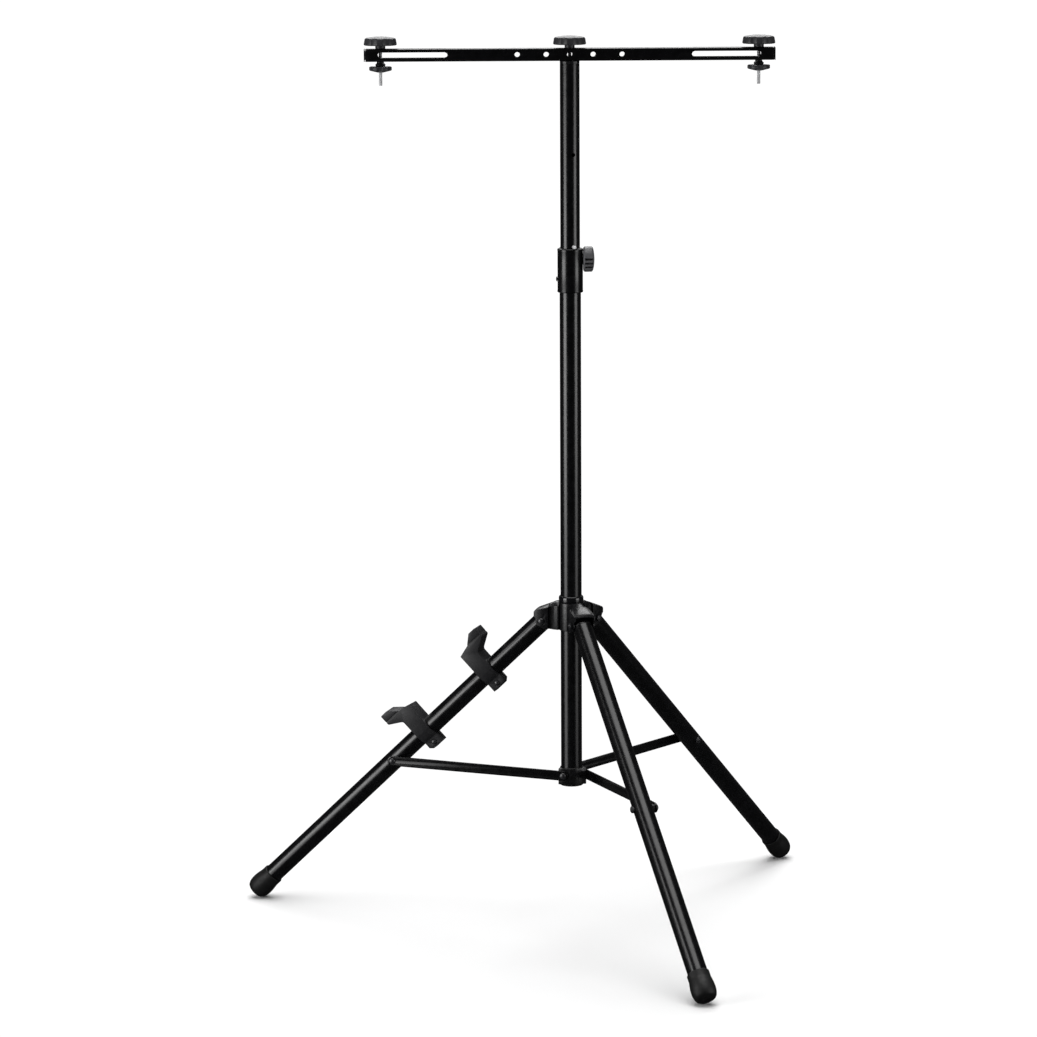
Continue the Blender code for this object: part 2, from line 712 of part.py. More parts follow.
def mast_top_plug(parent):
    """Plug pressed into the upper tube, with a flange and a tapped hole for the bar's stud."""
    origin = parent.matrix_world.translation.z
    flange_low = UPPER_TUBE_TOP + TOUCH_GAP
    flange_high = flange_low + TOP_PLUG_FLANGE
    spigot = UPPER_TUBE_RADIUS - TUBE_WALL - TOUCH_GAP
    bore = STUD_RADIUS + BOLT_CLEARANCE
    profile = [
        (bore, UPPER_TUBE_TOP - TOP_PLUG_DEPTH),
        (spigot, UPPER_TUBE_TOP - TOP_PLUG_DEPTH),
        (spigot, flange_low),
        (UPPER_TUBE_RADIUS, flange_low),
        (UPPER_TUBE_RADIUS, flange_high - 0.0006),
        (UPPER_TUBE_RADIUS - 0.0006, flange_high),
        (bore, flange_high),
    ]
    shape = turned(profile, HIDDEN_FACETS, closed=True)
    piece("mast_top_plug", shape, "nylon", parent, Matrix.Translation((0, 0, -origin)))


def upper_tube_guide(parent):
    """Nylon guide plug in the upper tube's lower end, running in the lower tube."""
    origin = parent.matrix_world.translation.z
    collar = MAST_TUBE_RADIUS - TUBE_WALL - TELESCOPE_GAP / 2
    spigot = UPPER_TUBE_RADIUS - TUBE_WALL - TOUCH_GAP
    low = UPPER_TUBE_BOTTOM - TOUCH_GAP
    profile = [
        (spigot - 0.003, low - 0.008),
        (collar - 0.0010, low - 0.008),
        (collar, low - 0.007),
        (collar, low),
        (spigot, low),
        (spigot, low + 0.022),
        (spigot - 0.003, low + 0.022),
    ]
    shape = turned(profile, HIDDEN_FACETS, closed=True)
    piece("upper_tube_guide", shape, "nylon", parent, Matrix.Translation((0, 0, -origin)))


def wire_ring(radius, wire, ring_steps=20, wire_steps=6):
    """A closed ring of round wire in the YZ plane, round the origin."""
    outline = [(radius + wire * cos(2 * pi * k / wire_steps), wire * sin(2 * pi * k / wire_steps))
               for k in range(wire_steps)]
    return moved(turned(outline, ring_steps, closed=True), along_x())


def safety_pin(parent):
    """Steel pin through the upper tube, resting on the collar's rim, with a pull ring behind."""
    tail = -COLLAR_RADIUS - PIN_HEAD_CLEARANCE
    back = tail - PIN_HEAD_LENGTH
    nose = UPPER_TUBE_RADIUS + PIN_NOSE
    profile = [
        (0.0, back),
        (PIN_HEAD_RADIUS - PIN_EDGE, back),
        (PIN_HEAD_RADIUS, back + PIN_EDGE),
        (PIN_HEAD_RADIUS, tail),
        (PIN_RADIUS, tail),
        (PIN_RADIUS, nose - PIN_RADIUS),
        (0.85 * PIN_RADIUS, nose - 0.45 * PIN_RADIUS),
        (0.45 * PIN_RADIUS, nose - 0.10 * PIN_RADIUS),
        (0.0, nose),
    ]
    eye = Vector(((back + tail) / 2, 0, 0))
    eye_hole = drill(PIN_RING_WIRE + PIN_EYE_CLEARANCE, eye, "Y", 2 * PIN_HEAD_RADIUS, facets=8)
    pin = cut(moved(turned(profile, SMALL_FACETS), along_x()), eye_hole)
    piece("safety_pin", pin, "zinc", parent)
    hang = Matrix.Translation(eye - Vector((0, 0, PIN_RING_RADIUS)))
    ring = moved(wire_ring(PIN_RING_RADIUS, PIN_RING_WIRE), hang)
    piece("safety_pin_ring", ring, "zinc", parent)


# Crossbar


def bar_slot_outline():
    """Outline of one long slot in the bar, ends rounded, as (x, across)."""
    half = SLOT_WIDTH / 2
    outer = SLOT_OUTER - half
    inner = SLOT_INNER + half
    return arc((outer, 0), half, -90, 90, 4) + arc((inner, 0), half, 90, 270, 4)


def levelled(shape, *heights):
    """Put the vertices of flat seats, rounded by the cuts, exactly on their heights."""
    for vertex in shape.verts:
        for height in heights:
            if abs(vertex.co.z - height) < SAME_HEIGHT:
                vertex.co.z = height
    return shape


def crossbar_tube(parent):
    """Rectangular tube with slots through all four walls near both ends and a row of holes."""
    half = BAR_LENGTH / 2
    middle = BAR_HEIGHT / 2
    outer = prism(rounded_rectangle(BAR_HEIGHT / 2, BAR_DEPTH / 2, BAR_CORNER), -half, half)
    inner = prism(
        rounded_rectangle(BAR_HEIGHT / 2 - BAR_WALL, BAR_DEPTH / 2 - BAR_WALL, BAR_CORNER / 2),
        -half - 0.01,
        half + 0.01,
    )
    stand = Matrix.Translation((0, 0, middle)) @ Matrix.Rotation(pi / 2, 4, "Y")
    moved(outer, stand)
    moved(inner, stand)
    tools = [inner]
    for side in (0, 180):
        flat = moved(prism(bar_slot_outline(), -0.05, 0.05), azimuth_turn(side))
        upright = moved(prism_xz(bar_slot_outline(), 0.05), azimuth_turn(side))
        tools.append(moved(flat, Matrix.Translation((0, 0, middle))))
        tools.append(moved(upright, Matrix.Translation((0, 0, middle))))
    for place in BAR_HOLE_PLACES:
        for x in sorted({place, -place}):
            tools.append(drill(BAR_HOLE_RADIUS, (x, 0, middle), "Y", 0.05))
    tools.append(drill(STUD_RADIUS + BOLT_CLEARANCE, (0, 0, middle), "Z", 0.05))
    shape = levelled(cut(outer, *tools), 0.0, BAR_HEIGHT)
    piece("crossbar_tube", shape, "powder_coat", parent)


def bar_end_caps(parent):
    """Moulded caps pushed into the bar's ends."""
    half = BAR_LENGTH / 2
    for name, sign in (("bar_end_cap_left", -1), ("bar_end_cap_right", 1)):
        flange = prism(
            rounded_rectangle(BAR_HEIGHT / 2 - BAR_CAP_INSET, BAR_DEPTH / 2 - BAR_CAP_INSET, BAR_CORNER),
            half + TOUCH_GAP,
            half + BAR_CAP_FLANGE,
        )
        bmesh.ops.bevel(
            flange,
            geom=[edge for edge in flange.edges if min(v.co.z for v in edge.verts) > half + 0.002],
            offset=0.0007,
            segments=1,
            affect="EDGES",
        )
        plug = prism(
            rounded_rectangle(
                BAR_HEIGHT / 2 - BAR_WALL - TOUCH_GAP,
                BAR_DEPTH / 2 - BAR_WALL - TOUCH_GAP,
                BAR_CORNER / 2,
            ),
            half - BAR_CAP_PLUG,
            half + 0.001,
        )
        shape = joined(flange, plug)
        stand = Matrix.Translation((0, 0, BAR_HEIGHT / 2)) @ Matrix.Rotation(pi / 2, 4, "Y")
        moved(shape, azimuth_turn(0 if sign > 0 else 180) @ stand)
        piece(name, shape, "nylon", parent)


def knob_radii(lobes):
    def radii(radius, depth):
        return grip_outline(radius, depth, lobes)

    return radii


def top_knob(name, parent, stud_low):
    """Lobed hand knob seated on Z = 0 with a threaded stud that reaches down to stud_low."""
    neck = KNOB_NECK_HEIGHT
    height = KNOB_HEIGHT
    depth = KNOB_LOBE_DEPTH
    radius = KNOB_RADIUS
    levels = [
        (0.0, KNOB_NECK_RADIUS, 0.0),
        (neck, KNOB_NECK_RADIUS, 0.0),
        (neck + 0.0004, 0.92 * radius, 0.4 * depth),
        (neck + 0.0022, radius, depth),
        (neck + 0.72 * height, 0.945 * radius, depth),
        (neck + 0.84 * height, 0.86 * radius, 0.5 * depth),
        (neck + height, 0.30 * radius, 0.0),
    ]
    shape = grip_body(levels, knob_radii(KNOB_LOBES))
    bore_top = neck + 0.6 * height
    bore = solid_rod(STUD_RADIUS + TOUCH_GAP, -0.01, bore_top)
    piece(name + "_grip", cut(shape, bore), "moulded", parent)
    stud = solid_rod(STUD_RADIUS, stud_low, bore_top - TOUCH_GAP, chamfer=0.0007)
    piece(name + "_stud", stud, "zinc", parent)


def star_nut(name, parent):
    """Lobed hand nut below the bar; Z = 0 is its seat and it hangs down from there."""
    height = STAR_NUT_HEIGHT
    radius = STAR_NUT_RADIUS
    depth = STAR_NUT_LOBE_DEPTH
    levels = [
        (-height, 0.30 * radius, 0.0),
        (-0.72 * height, 0.88 * radius, depth),
        (-0.60 * height, radius, depth),
        (-0.12 * height, radius, depth),
        (0.0, 0.92 * radius, 0.6 * depth),
    ]

    def radii(radius_here, depth_here):
        return grip_outline(radius_here, depth_here, STAR_NUT_LOBES, facets=STAR_NUT_FACETS)

    bore = solid_rod(STUD_RADIUS + BOLT_CLEARANCE, -2 * height, height)
    piece(name, cut(grip_body(levels, radii), bore), "moulded", parent)


def clamp_spacer(name, parent):
    """Rubber spacer between the bar's underside and the star nut, narrow above and round below."""
    bore = STUD_RADIUS + BOLT_CLEARANCE
    height = SPACER_HEIGHT
    profile = [
        (bore, 0.0),
        (SPACER_NECK_RADIUS, 0.0),
        (SPACER_NECK_RADIUS, -0.30 * height),
        (0.93 * SPACER_BULGE_RADIUS, -0.50 * height),
        (SPACER_BULGE_RADIUS, -0.68 * height),
        (0.97 * SPACER_BULGE_RADIUS, -0.86 * height),
        (0.90 * SPACER_BULGE_RADIUS, -height),
        (bore, -height),
    ]
    piece(name, turned(profile, SPACER_FACETS, closed=True), "rubber", parent)


def centre_knob(parent):
    """Knob that draws the bar down on the mast's plug."""
    reach = BAR_HEIGHT + TOP_PLUG_FLANGE + TOP_PLUG_DEPTH * 0.6
    top_knob("centre_knob", parent, -reach)


def lamp_clamp(side, parent):
    """Spacer, hand knob with its stud, and star nut that hold one lamp; all slide in the slots."""
    sign = -1 if side == "left" else 1
    place = Matrix.Translation((sign * CLAMP_STUD_PLACE, 0, 0))
    carriage = frame(side + "_clamp_slide", parent, place)
    clamp_spacer(side + "_clamp_spacer", frame(side + "_spacer_seat", carriage, downward(TOUCH_GAP)))
    knob_seat = BAR_HEIGHT + TOUCH_GAP
    nut_seat = -SPACER_HEIGHT - 2 * TOUCH_GAP
    stud_low = nut_seat - STAR_NUT_HEIGHT - STUD_BELOW_NUT - knob_seat
    top_knob(side + "_knob", frame(side + "_knob_turn", carriage, downward(-knob_seat)), stud_low)
    star_nut(side + "_star_nut", frame(side + "_nut_turn", carriage, downward(-nut_seat)))


# Hub


def arched_section(along, half_width, bottom, top, crown):
    """Cross-section of an arm: flat below, upright sides, and a top that is crowned in the middle."""
    ring = [(along, -half_width, bottom), (along, half_width, bottom)]
    for step in range(ARCH_STEPS + 1):
        share = 1 - 2 * step / ARCH_STEPS
        ring.append((along, share * half_width, top - crown * abs(share) ** CROWN_POWER))
    return ring


def clevis_blank(half_width, lower_by, back, front):
    """The crowned block that a clevis is cut from, or with lower_by its hollow."""
    rings = []
    for along in (back, front):
        inward = (CLEVIS_REACH - along) / (CLEVIS_START + CLEVIS_REACH)
        top = CLEVIS_TOP_OUTER + inward * (CLEVIS_TOP_INNER - CLEVIS_TOP_OUTER) - lower_by
        crown = CLEVIS_CROWN_OUTER + inward * (CLEVIS_CROWN_INNER - CLEVIS_CROWN_OUTER)
        rings.append(arched_section(along, half_width, CLEVIS_BLANK_BOTTOM, top, crown))
    return lofted(rings)


def clevis_outline():
    """Side outline of a clevis in its leg's plane, pivot at (0, 0)."""
    outline = [(-CLEVIS_START, 0.04), (-CLEVIS_START, -CLEVIS_BOTTOM), (-CLEVIS_HEEL, -CLEVIS_BOTTOM)]
    outline += arc((0, 0), CLEVIS_LOBE_RADIUS, -75, 20, 8)
    chamfer = CLEVIS_TOP_CHAMFER
    outline += [(CLEVIS_REACH, CLEVIS_FRONT_EDGE), (CLEVIS_REACH, CLEVIS_TOP_OUTER - chamfer)]
    inset = CLEVIS_REACH - chamfer
    outline += [(inset, CLEVIS_TOP_OUTER + CLEVIS_TOP_CHAMFER_RISE), (inset, 0.04)]
    return outline


def clevis(place):
    side = prism_xz(clevis_outline(), 0.03)
    blank = clevis_blank(CLEVIS_HALF_WIDTH, 0.0, -CLEVIS_START - 0.004, CLEVIS_REACH + 0.004)
    return moved(combined(blank, [side], "INTERSECT"), place)


def neck(place):
    """The arm between the hub's barrel and a clevis, flared and risen where it meets the barrel."""
    root = -LEG_PIVOT_RADIUS + MAST_TUBE_RADIUS + TOUCH_GAP
    skin = -LEG_PIVOT_RADIUS + HUB_RADIUS
    bottom = -HUB_BELOW_PIVOT + NECK_BOTTOM_DROP
    flared = NECK_HALF_WIDTH + NECK_FLARE
    straight = skin + NECK_FLARE_LENGTH
    risen = -CLEVIS_START - NECK_RISE_PLACE
    back = -CLEVIS_START + NECK_LAP
    rings = [
        arched_section(root, flared, bottom, NECK_ROOT_TOP, NECK_CROWN),
        arched_section(skin, flared, bottom, NECK_ROOT_TOP, NECK_CROWN),
        arched_section(straight, NECK_HALF_WIDTH, bottom, (NECK_ROOT_TOP + NECK_RISE_TOP) / 2, NECK_CROWN),
        arched_section(risen, NECK_HALF_WIDTH, bottom, NECK_RISE_TOP, NECK_CROWN),
        arched_section(back, NECK_HALF_WIDTH, -CLEVIS_BOTTOM, NECK_TOP, CLEVIS_CROWN_INNER),
    ]
    return moved(lofted(rings), place)


def leg_place(azimuth):
    """Frame of a leg's pivot on the hub: X outward, Y sideways, Z up."""
    outward = Matrix.Translation((LEG_PIVOT_RADIUS, 0, 0))
    return azimuth_turn(azimuth) @ outward


def folded_leg_room(place):
    """The round notch that a folded leg's tube lies in, up to its shoulder."""
    room = solid_rod(LEG_TUBE_RADIUS + LEG_NOTCH_GAP, -0.06, LEG_NOTCH_GAP, facets=TUBE_FACETS)
    return moved(room, place @ Matrix.Rotation(-radians(LEG_FOLDED), 4, "Y"))


def hub_casting(parent):
    """Cast hub: a barrel round the mast and three crowned arms that end in clevises."""
    rim = HUB_ABOVE_PIVOT + HUB_RIM_HEIGHT
    barrel = solid_rod(HUB_RADIUS, -HUB_BELOW_PIVOT, rim, chamfer=0.0008, facets=TUBE_FACETS)
    solids = []
    hollows = []
    for azimuth in LEG_AZIMUTHS:
        place = leg_place(azimuth)
        solids += [neck(place), clevis(place)]
        pocket = clevis_blank(CLEVIS_GAP_HALF, CLEVIS_ROOF, CLEVIS_BACK - CLEVIS_START, 0.03)
        hollows += [moved(pocket, place), folded_leg_room(place)]
        hollows.append(moved(drill(PIVOT_BOLT_RADIUS + BOLT_CLEARANCE, (0, 0, 0), "Y", 0.03), place))
    bore = solid_rod(BUSH_RADIUS + TOUCH_GAP, -0.05, 0.05, facets=TUBE_FACETS)
    hollows.append(solid_rod(HUB_RING_RADIUS + 2 * TOUCH_GAP, HUB_ABOVE_PIVOT, 0.06, facets=TUBE_FACETS))
    stud_hole = drill(HUB_STUD_RADIUS + BOLT_CLEARANCE, (0.025, 0, HUB_KNOB_HEIGHT), "X", 0.012)
    moved(stud_hole, azimuth_turn(HUB_KNOB_AZIMUTH))
    shape = cut(joined(barrel, *solids), *hollows, bore, stud_hole)
    piece("hub_casting", shape, "cast_coat", parent)


def hub_bush(parent):
    """Nylon bush inside the hub, with the glossy ring that shows on top."""
    ring_low = HUB_ABOVE_PIVOT + TOUCH_GAP
    ring_high = ring_low + HUB_RING_HEIGHT
    profile = [
        (BUSH_BORE, -HUB_BELOW_PIVOT + 0.001),
        (BUSH_RADIUS, -HUB_BELOW_PIVOT + 0.001),
        (BUSH_RADIUS, ring_low),
        (HUB_RING_RADIUS - 0.0010, ring_low),
        (HUB_RING_RADIUS, ring_low + 0.0010),
        (HUB_RING_RADIUS, ring_high - 0.0026),
        (HUB_RING_RADIUS - 0.0007, ring_high - 0.0009),
        (HUB_RING_RADIUS - 0.0018, ring_high),
        (BUSH_BORE + 0.0008, ring_high),
        (BUSH_BORE, ring_high - 0.0010),
    ]
    hole = drill(HUB_STUD_RADIUS + BOLT_CLEARANCE, (0.025, 0, HUB_KNOB_HEIGHT), "X", 0.012)
    moved(hole, azimuth_turn(HUB_KNOB_AZIMUTH))
    piece("hub_bush", cut(turned(profile, closed=True), hole), "nylon", parent)


def leg_pivot_bolts(parent):
    """Bolts through the clevises with their lock nuts run on, heads on each leg's brace side."""
    seat = CLEVIS_HALF_WIDTH + TOUCH_GAP
    length = 2 * seat + NUT_HEIGHT + BOLT_TAIL
    front = Matrix.Translation((0, seat, 0)) @ along_y()
    for number, azimuth in enumerate(LEG_AZIMUTHS, start=1):
        nut = hexagon(NUT_RADIUS, -2 * seat - NUT_HEIGHT, -2 * seat)
        bolt = moved(joined(button_bolt(length), nut), leg_place(azimuth) @ front)
        piece(f"leg_pivot_bolt_{number}", bolt, "zinc", parent)


def hub_knob(parent):
    """Small knob behind the hub whose stud presses on the mast; turns about its radial axis."""
    seat = HUB_RADIUS + 0.0012
    length = HUB_KNOB_LENGTH
    levels = [
        (seat, 0.50 * HUB_KNOB_RADIUS, 0.0),
        (seat + 0.0035, 0.50 * HUB_KNOB_RADIUS, 0.0),
        (seat + 0.0036, 0.92 * HUB_KNOB_RADIUS, 0.0005),
        (seat + 0.0050, HUB_KNOB_RADIUS, 0.0012),
        (seat + length - 0.0020, HUB_KNOB_RADIUS, 0.0012),
        (seat + length, 0.82 * HUB_KNOB_RADIUS, 0.0003),
    ]

    def radii(radius, depth):
        return grip_outline(radius, depth, 6, facets=36)

    bore = solid_rod(HUB_STUD_RADIUS + TOUCH_GAP, seat - 0.01, seat + 0.7 * length)
    piece("hub_knob_grip", cut(grip_body(levels, radii), bore), "moulded", parent, along_x())
    tip = MAST_TUBE_RADIUS + TOUCH_GAP
    stud = solid_rod(HUB_STUD_RADIUS, tip, seat + 0.7 * length - TOUCH_GAP, chamfer=0.0004)
    piece("hub_knob_stud", stud, "zinc", parent, along_x())


# Legs, in a frame with the pivot at the origin and the leg hanging along -Z


def leg_tube(name, parent):
    low = -LEG_LENGTH + FOOT_FLOOR + TOUCH_GAP
    shape = pipe(LEG_TUBE_RADIUS, LEG_TUBE_BORE, low, -LEG_TUBE_START)
    bolt_hole = drill(PIVOT_BOLT_RADIUS + BOLT_CLEARANCE, (0, 0, -LEG_BRACE_DISTANCE), "Y", 0.03)
    piece(name + "_tube", cut(shape, bolt_hole), "powder_coat", parent)


def leg_end_fitting(name, parent):
    """Moulded tongue that closes the leg's top and turns on the pivot bolt in the clevis."""
    body = solid_rod(
        LEG_TUBE_RADIUS - 0.0002,
        -LEG_TUBE_START + TOUCH_GAP,
        LEG_TONGUE_RADIUS + 0.002,
        facets=TUBE_FACETS,
    )
    round_end = arc((0, 0), LEG_TONGUE_RADIUS, 0, 180, 14)
    outline = [(-LEG_TUBE_RADIUS, -0.03), (LEG_TUBE_RADIUS, -0.03)]
    outline += [(LEG_TUBE_RADIUS, -LEG_SHOULDER)] + round_end + [(-LEG_TUBE_RADIUS, -LEG_SHOULDER)]
    shape = combined(body, [prism_xz(outline, 0.02)], "INTERSECT")
    spigot = solid_rod(
        LEG_TUBE_BORE - TOUCH_GAP,
        -LEG_TUBE_START - LEG_SPIGOT_LENGTH,
        -LEG_TUBE_START + 0.002,
        chamfer=0.0006,
        facets=TUBE_FACETS,
    )
    bolt_hole = drill(PIVOT_BOLT_RADIUS + BOLT_CLEARANCE, (0, 0, 0), "Y", 0.03)
    shape = cut(joined(shape, spigot), bolt_hole)
    piece(name + "_end_fitting", shape, "nylon", parent)


def leg_foot(name, parent):
    """Rubber cap over the leg's end."""
    profile = [(0.0, -LEG_LENGTH)]
    profile += [(radius, along - LEG_LENGTH) for radius, along in foot_profile()]
    bore = LEG_TUBE_RADIUS + TOUCH_GAP
    profile += [(bore, FOOT_FLOOR + FOOT_BORE_DEPTH - LEG_LENGTH), (bore, FOOT_FLOOR - LEG_LENGTH)]
    profile += [(0.0, FOOT_FLOOR - LEG_LENGTH)]
    piece(name + "_foot", turned(profile, FOOT_FACETS), "rubber", parent)


def brace_fasteners(name, parent):
    """On the leg: the saddle spacer under the brace, and the bolt's inner length with its nut."""
    drop = Matrix.Translation((0, 0, -LEG_BRACE_DISTANCE))
    hole = PIVOT_BOLT_RADIUS + BOLT_CLEARANCE
    leg_skin = solid_rod(LEG_TUBE_RADIUS + TOUCH_GAP, -0.03, 0.03, facets=TUBE_FACETS)
    spacer = pipe(SPACER_RADIUS, hole, 0.004, PAD_FACE, facets=SMALL_FACETS)
    shape = cut(moved(spacer, along_y()), leg_skin)
    piece(name + "_brace_spacer", moved(shape, drop), "nylon", parent)
    seat = -LEG_TUBE_RADIUS - TOUCH_GAP
    tail = seat - NUT_HEIGHT - BOLT_TAIL
    nut = hexagon(NUT_RADIUS, seat - NUT_HEIGHT, seat)
    shank = solid_rod(PIVOT_BOLT_RADIUS, tail, PAD_FACE, chamfer=0.0004)
    piece(name + "_brace_nut", moved(joined(nut, shank), drop @ along_y()), "zinc", parent)


def hook_outline_upper():
    """Side outline of a hook's arm and finger above the leg's axis, finger toward +X."""
    side = HOOK_HALF_LENGTH
    tip = HOOK_HALF_LENGTH + HOOK_FINGER_REACH
    throat = arc((side + HOOK_THROAT_ARC, HOOK_THROAT_HEIGHT), HOOK_THROAT_ARC, 180, 125, 4)
    nose_middle = (tip - HOOK_NOSE_ARC, HOOK_FINGER_UNDERSIDE + HOOK_NOSE_ARC)
    nose = arc(nose_middle, HOOK_NOSE_ARC, -60, 0, 4)
    outline = [(-side, 0.0), (side, 0.0)] + throat + nose
    outline += [(tip, HOOK_LIP_HEIGHT - 0.001), (tip - 0.001, HOOK_LIP_HEIGHT)]
    outline += [(side + HOOK_LIP_START, HOOK_LIP_HEIGHT), (-side + HOOK_LIP_ROOT_INSET, HOOK_LIP_ROOT)]
    outline.append((-side, HOOK_ARM_HEIGHT))
    return outline


def hook_outline_ears():
    side = HOOK_HALF_LENGTH
    deep = -HOOK_EAR_DEPTH
    return [(-side, 0.004), (-side, deep), (side - 0.006, deep), (side, deep + 0.005), (side, 0.004)]


def hook_shape():
    """One moulded cable hook round a leg on Z: arm toward +X, finger toward +Z."""
    # Outlines are drawn with the finger along X and the arm along Z, then turned.
    arm = prism_xz(hook_outline_upper(), HOOK_HALF_WIDTH)
    ears = prism_xz(hook_outline_ears(), HOOK_EAR_HALF_WIDTH)
    ring_end = HOOK_HALF_LENGTH - HOOK_RING_INSET
    ring = solid_rod(HOOK_RING_RADIUS, -ring_end, ring_end, facets=TUBE_FACETS)
    moved(ring, along_x())
    bore = solid_rod(LEG_TUBE_RADIUS + TOUCH_GAP, -0.05, 0.05, facets=TUBE_FACETS)
    moved(bore, along_x())
    split = box((-0.05, -HOOK_SPLIT / 2, -0.05), (0.05, HOOK_SPLIT / 2, -0.008))
    screw_hole = drill(HOOK_SCREW_RADIUS + BOLT_CLEARANCE, (0, 0, -HOOK_SCREW_DEPTH), "Y", 0.03)
    groove_low = HOOK_LIP_ROOT - HOOK_GROOVE_WIDTH / 2
    groove_high = HOOK_LIP_ROOT + HOOK_GROOVE_WIDTH / 2
    grooves = [
        box((-0.05, side * HOOK_HALF_WIDTH - HOOK_GROOVE_DEPTH, groove_low),
            (0.06, side * HOOK_HALF_WIDTH + HOOK_GROOVE_DEPTH, groove_high))
        for side in (-1, 1)
    ]
    shape = cut(joined(arm, ears, ring), bore, split, screw_hole, *grooves)
    turn = Matrix(((0, 0, 1, 0), (0, -1, 0, 0), (1, 0, 0, 0), (0, 0, 0, 1)))
    return moved(shape, turn)


def hook_bolt():
    """The small bolt with its nut that closes a hook's split, head above Z = 0."""
    reach = 2 * (HOOK_EAR_HALF_WIDTH + TOUCH_GAP)
    nut = hexagon(HOOK_SCREW_HEAD, -reach - HOOK_NUT_HEIGHT, -reach)
    length = reach + HOOK_NUT_HEIGHT + HOOK_SCREW_TAIL
    return joined(button_bolt(length, HOOK_SCREW_HEAD, HOOK_SCREW_RADIUS), nut)


def cable_hooks(parent):
    """Two hooks that face away from each other, so a cable is wound between their fingers."""
    head_seat = HOOK_EAR_HALF_WIDTH + TOUCH_GAP
    for side, distance, flip in zip(("upper", "lower"), HOOK_DISTANCES, (0, pi)):
        drop = Matrix.Translation((0, 0, -distance))
        place = drop @ Matrix.Rotation(flip, 4, "X")
        piece("cable_hook_" + side, hook_shape(), "moulded", parent, place)
        seat = Matrix.Translation((-HOOK_SCREW_DEPTH, head_seat, 0))
        piece("hook_bolt_" + side, moved(hook_bolt(), drop @ seat @ along_y()), "zinc", parent)


# Braces, in a frame with the inner pivot at the origin and the strip along +Z


def brace_strip(name, parent):
    half = BRACE_HALF_WIDTH
    outline = arc((0, 0), half, 180, 360, 12) + arc((0, BRACE_LENGTH), half, 0, 180, 12)
    shape = prism_xz(outline, BRACE_THICKNESS / 2, BRACE_INNER_FACE + BRACE_THICKNESS / 2)
    hole = PIVOT_BOLT_RADIUS + BOLT_CLEARANCE
    holes = [drill(hole, (0, BRACE_INNER_FACE, place), "Y", 0.01) for place in (0.0, BRACE_LENGTH)]
    piece(name + "_strip", cut(shape, *holes), "powder_coat", parent)


def brace_outer_bolt(name, parent):
    """Head and outer length of the bolt that ties a brace to its leg."""
    seat = BRACE_OUTER_FACE + TOUCH_GAP
    place = Matrix.Translation((0, seat, BRACE_LENGTH)) @ along_y()
    shape = moved(button_bolt(seat - BRACE_INNER_FACE), place)
    piece(name + "_outer_bolt", shape, "powder_coat", parent)


# Assembly


def build_mast(root):
    mast_lower_tube(root)
    clamp_collar(root)
    collar_rivet(root)
    clamp_pad(root)
    base_bracket(root)
    brace_inner_bolts(root)
    knob = frame("clamp_knob_turn", root, Matrix.Translation((0, 0, CLAMP_HEIGHT)))
    clamp_knob(knob)


def build_upper_mast(root):
    upper = frame("upper_mast_slide", root, Matrix.Translation((0, 0, PIN_HEIGHT)))
    bpy.context.view_layer.update()
    mast_upper_tube(upper)
    mast_top_plug(upper)
    upper_tube_guide(upper)
    pin = frame("safety_pin_slide", upper, azimuth_turn(PIN_AZIMUTH))
    safety_pin(pin)
    swivel = frame("crossbar_swivel", upper, Matrix.Translation((0, 0, BAR_BOTTOM - PIN_HEIGHT)))
    crossbar_tube(swivel)
    bar_end_caps(swivel)
    knob = frame("centre_knob_turn", swivel, Matrix.Translation((0, 0, BAR_HEIGHT + TOUCH_GAP)))
    centre_knob(knob)
    lamp_clamp("left", swivel)
    lamp_clamp("right", swivel)


def build_hub(root):
    hub = frame("hub_slide", root, Matrix.Translation((0, 0, LEG_PIVOT_HEIGHT)))
    hub_casting(hub)
    hub_bush(hub)
    leg_pivot_bolts(hub)
    knob_place = Matrix.Translation((0, 0, HUB_KNOB_HEIGHT)) @ azimuth_turn(HUB_KNOB_AZIMUTH)
    hub_knob(frame("hub_knob_turn", hub, knob_place))
    for number, azimuth in enumerate(LEG_AZIMUTHS, start=1):
        name = f"leg_{number}"
        tilt = Matrix.Rotation(-radians(LEG_SPREAD), 4, "Y")
        leg = frame(name + "_pivot", hub, leg_place(azimuth) @ tilt)
        leg_tube(name, leg)
        leg_end_fitting(name, leg)
        leg_foot(name, leg)
        brace_fasteners(name, leg)
        if number == 1:
            cable_hooks(leg)


def build_braces(root):
    for number, azimuth in enumerate(LEG_AZIMUTHS, start=1):
        name = f"brace_{number}"
        place = Matrix.Translation((BRACE_PIVOT_RADIUS, 0, BRACE_PIVOT_HEIGHT))
        tilt = Matrix.Rotation(BRACE_ANGLE, 4, "Y")
        brace = frame(name + "_pivot", root, azimuth_turn(azimuth) @ place @ tilt)
        brace_strip(name, brace)
        brace_outer_bolt(name, brace)


def centre_on_footprint(root):
    """Move the root so that the middle of the box round all pieces stands over the origin."""
    bpy.context.view_layer.update()
    corners = []
    for item in bpy.data.objects:
        if item.type == "MESH":
            corners += [item.matrix_world @ vertex.co for vertex in item.data.vertices]
    middle_x = (min(c.x for c in corners) + max(c.x for c in corners)) / 2
    middle_y = (min(c.y for c in corners) + max(c.y for c in corners)) / 2
    root.location = Vector((-middle_x, -middle_y, 0))
    bpy.context.view_layer.update()


def main():
    clear_scene()
    root = frame("tripod_root", None, Matrix.Identity(4))
    build_mast(root)
    build_upper_mast(root)
    build_hub(root)
    build_braces(root)
    centre_on_footprint(root)


main()
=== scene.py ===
"""Looks of the light tripod: camera, studio, materials and detailed pieces over the frame.

Lengths are in metres and angles in degrees.
"""

import json
from math import cos, pi, radians, sin

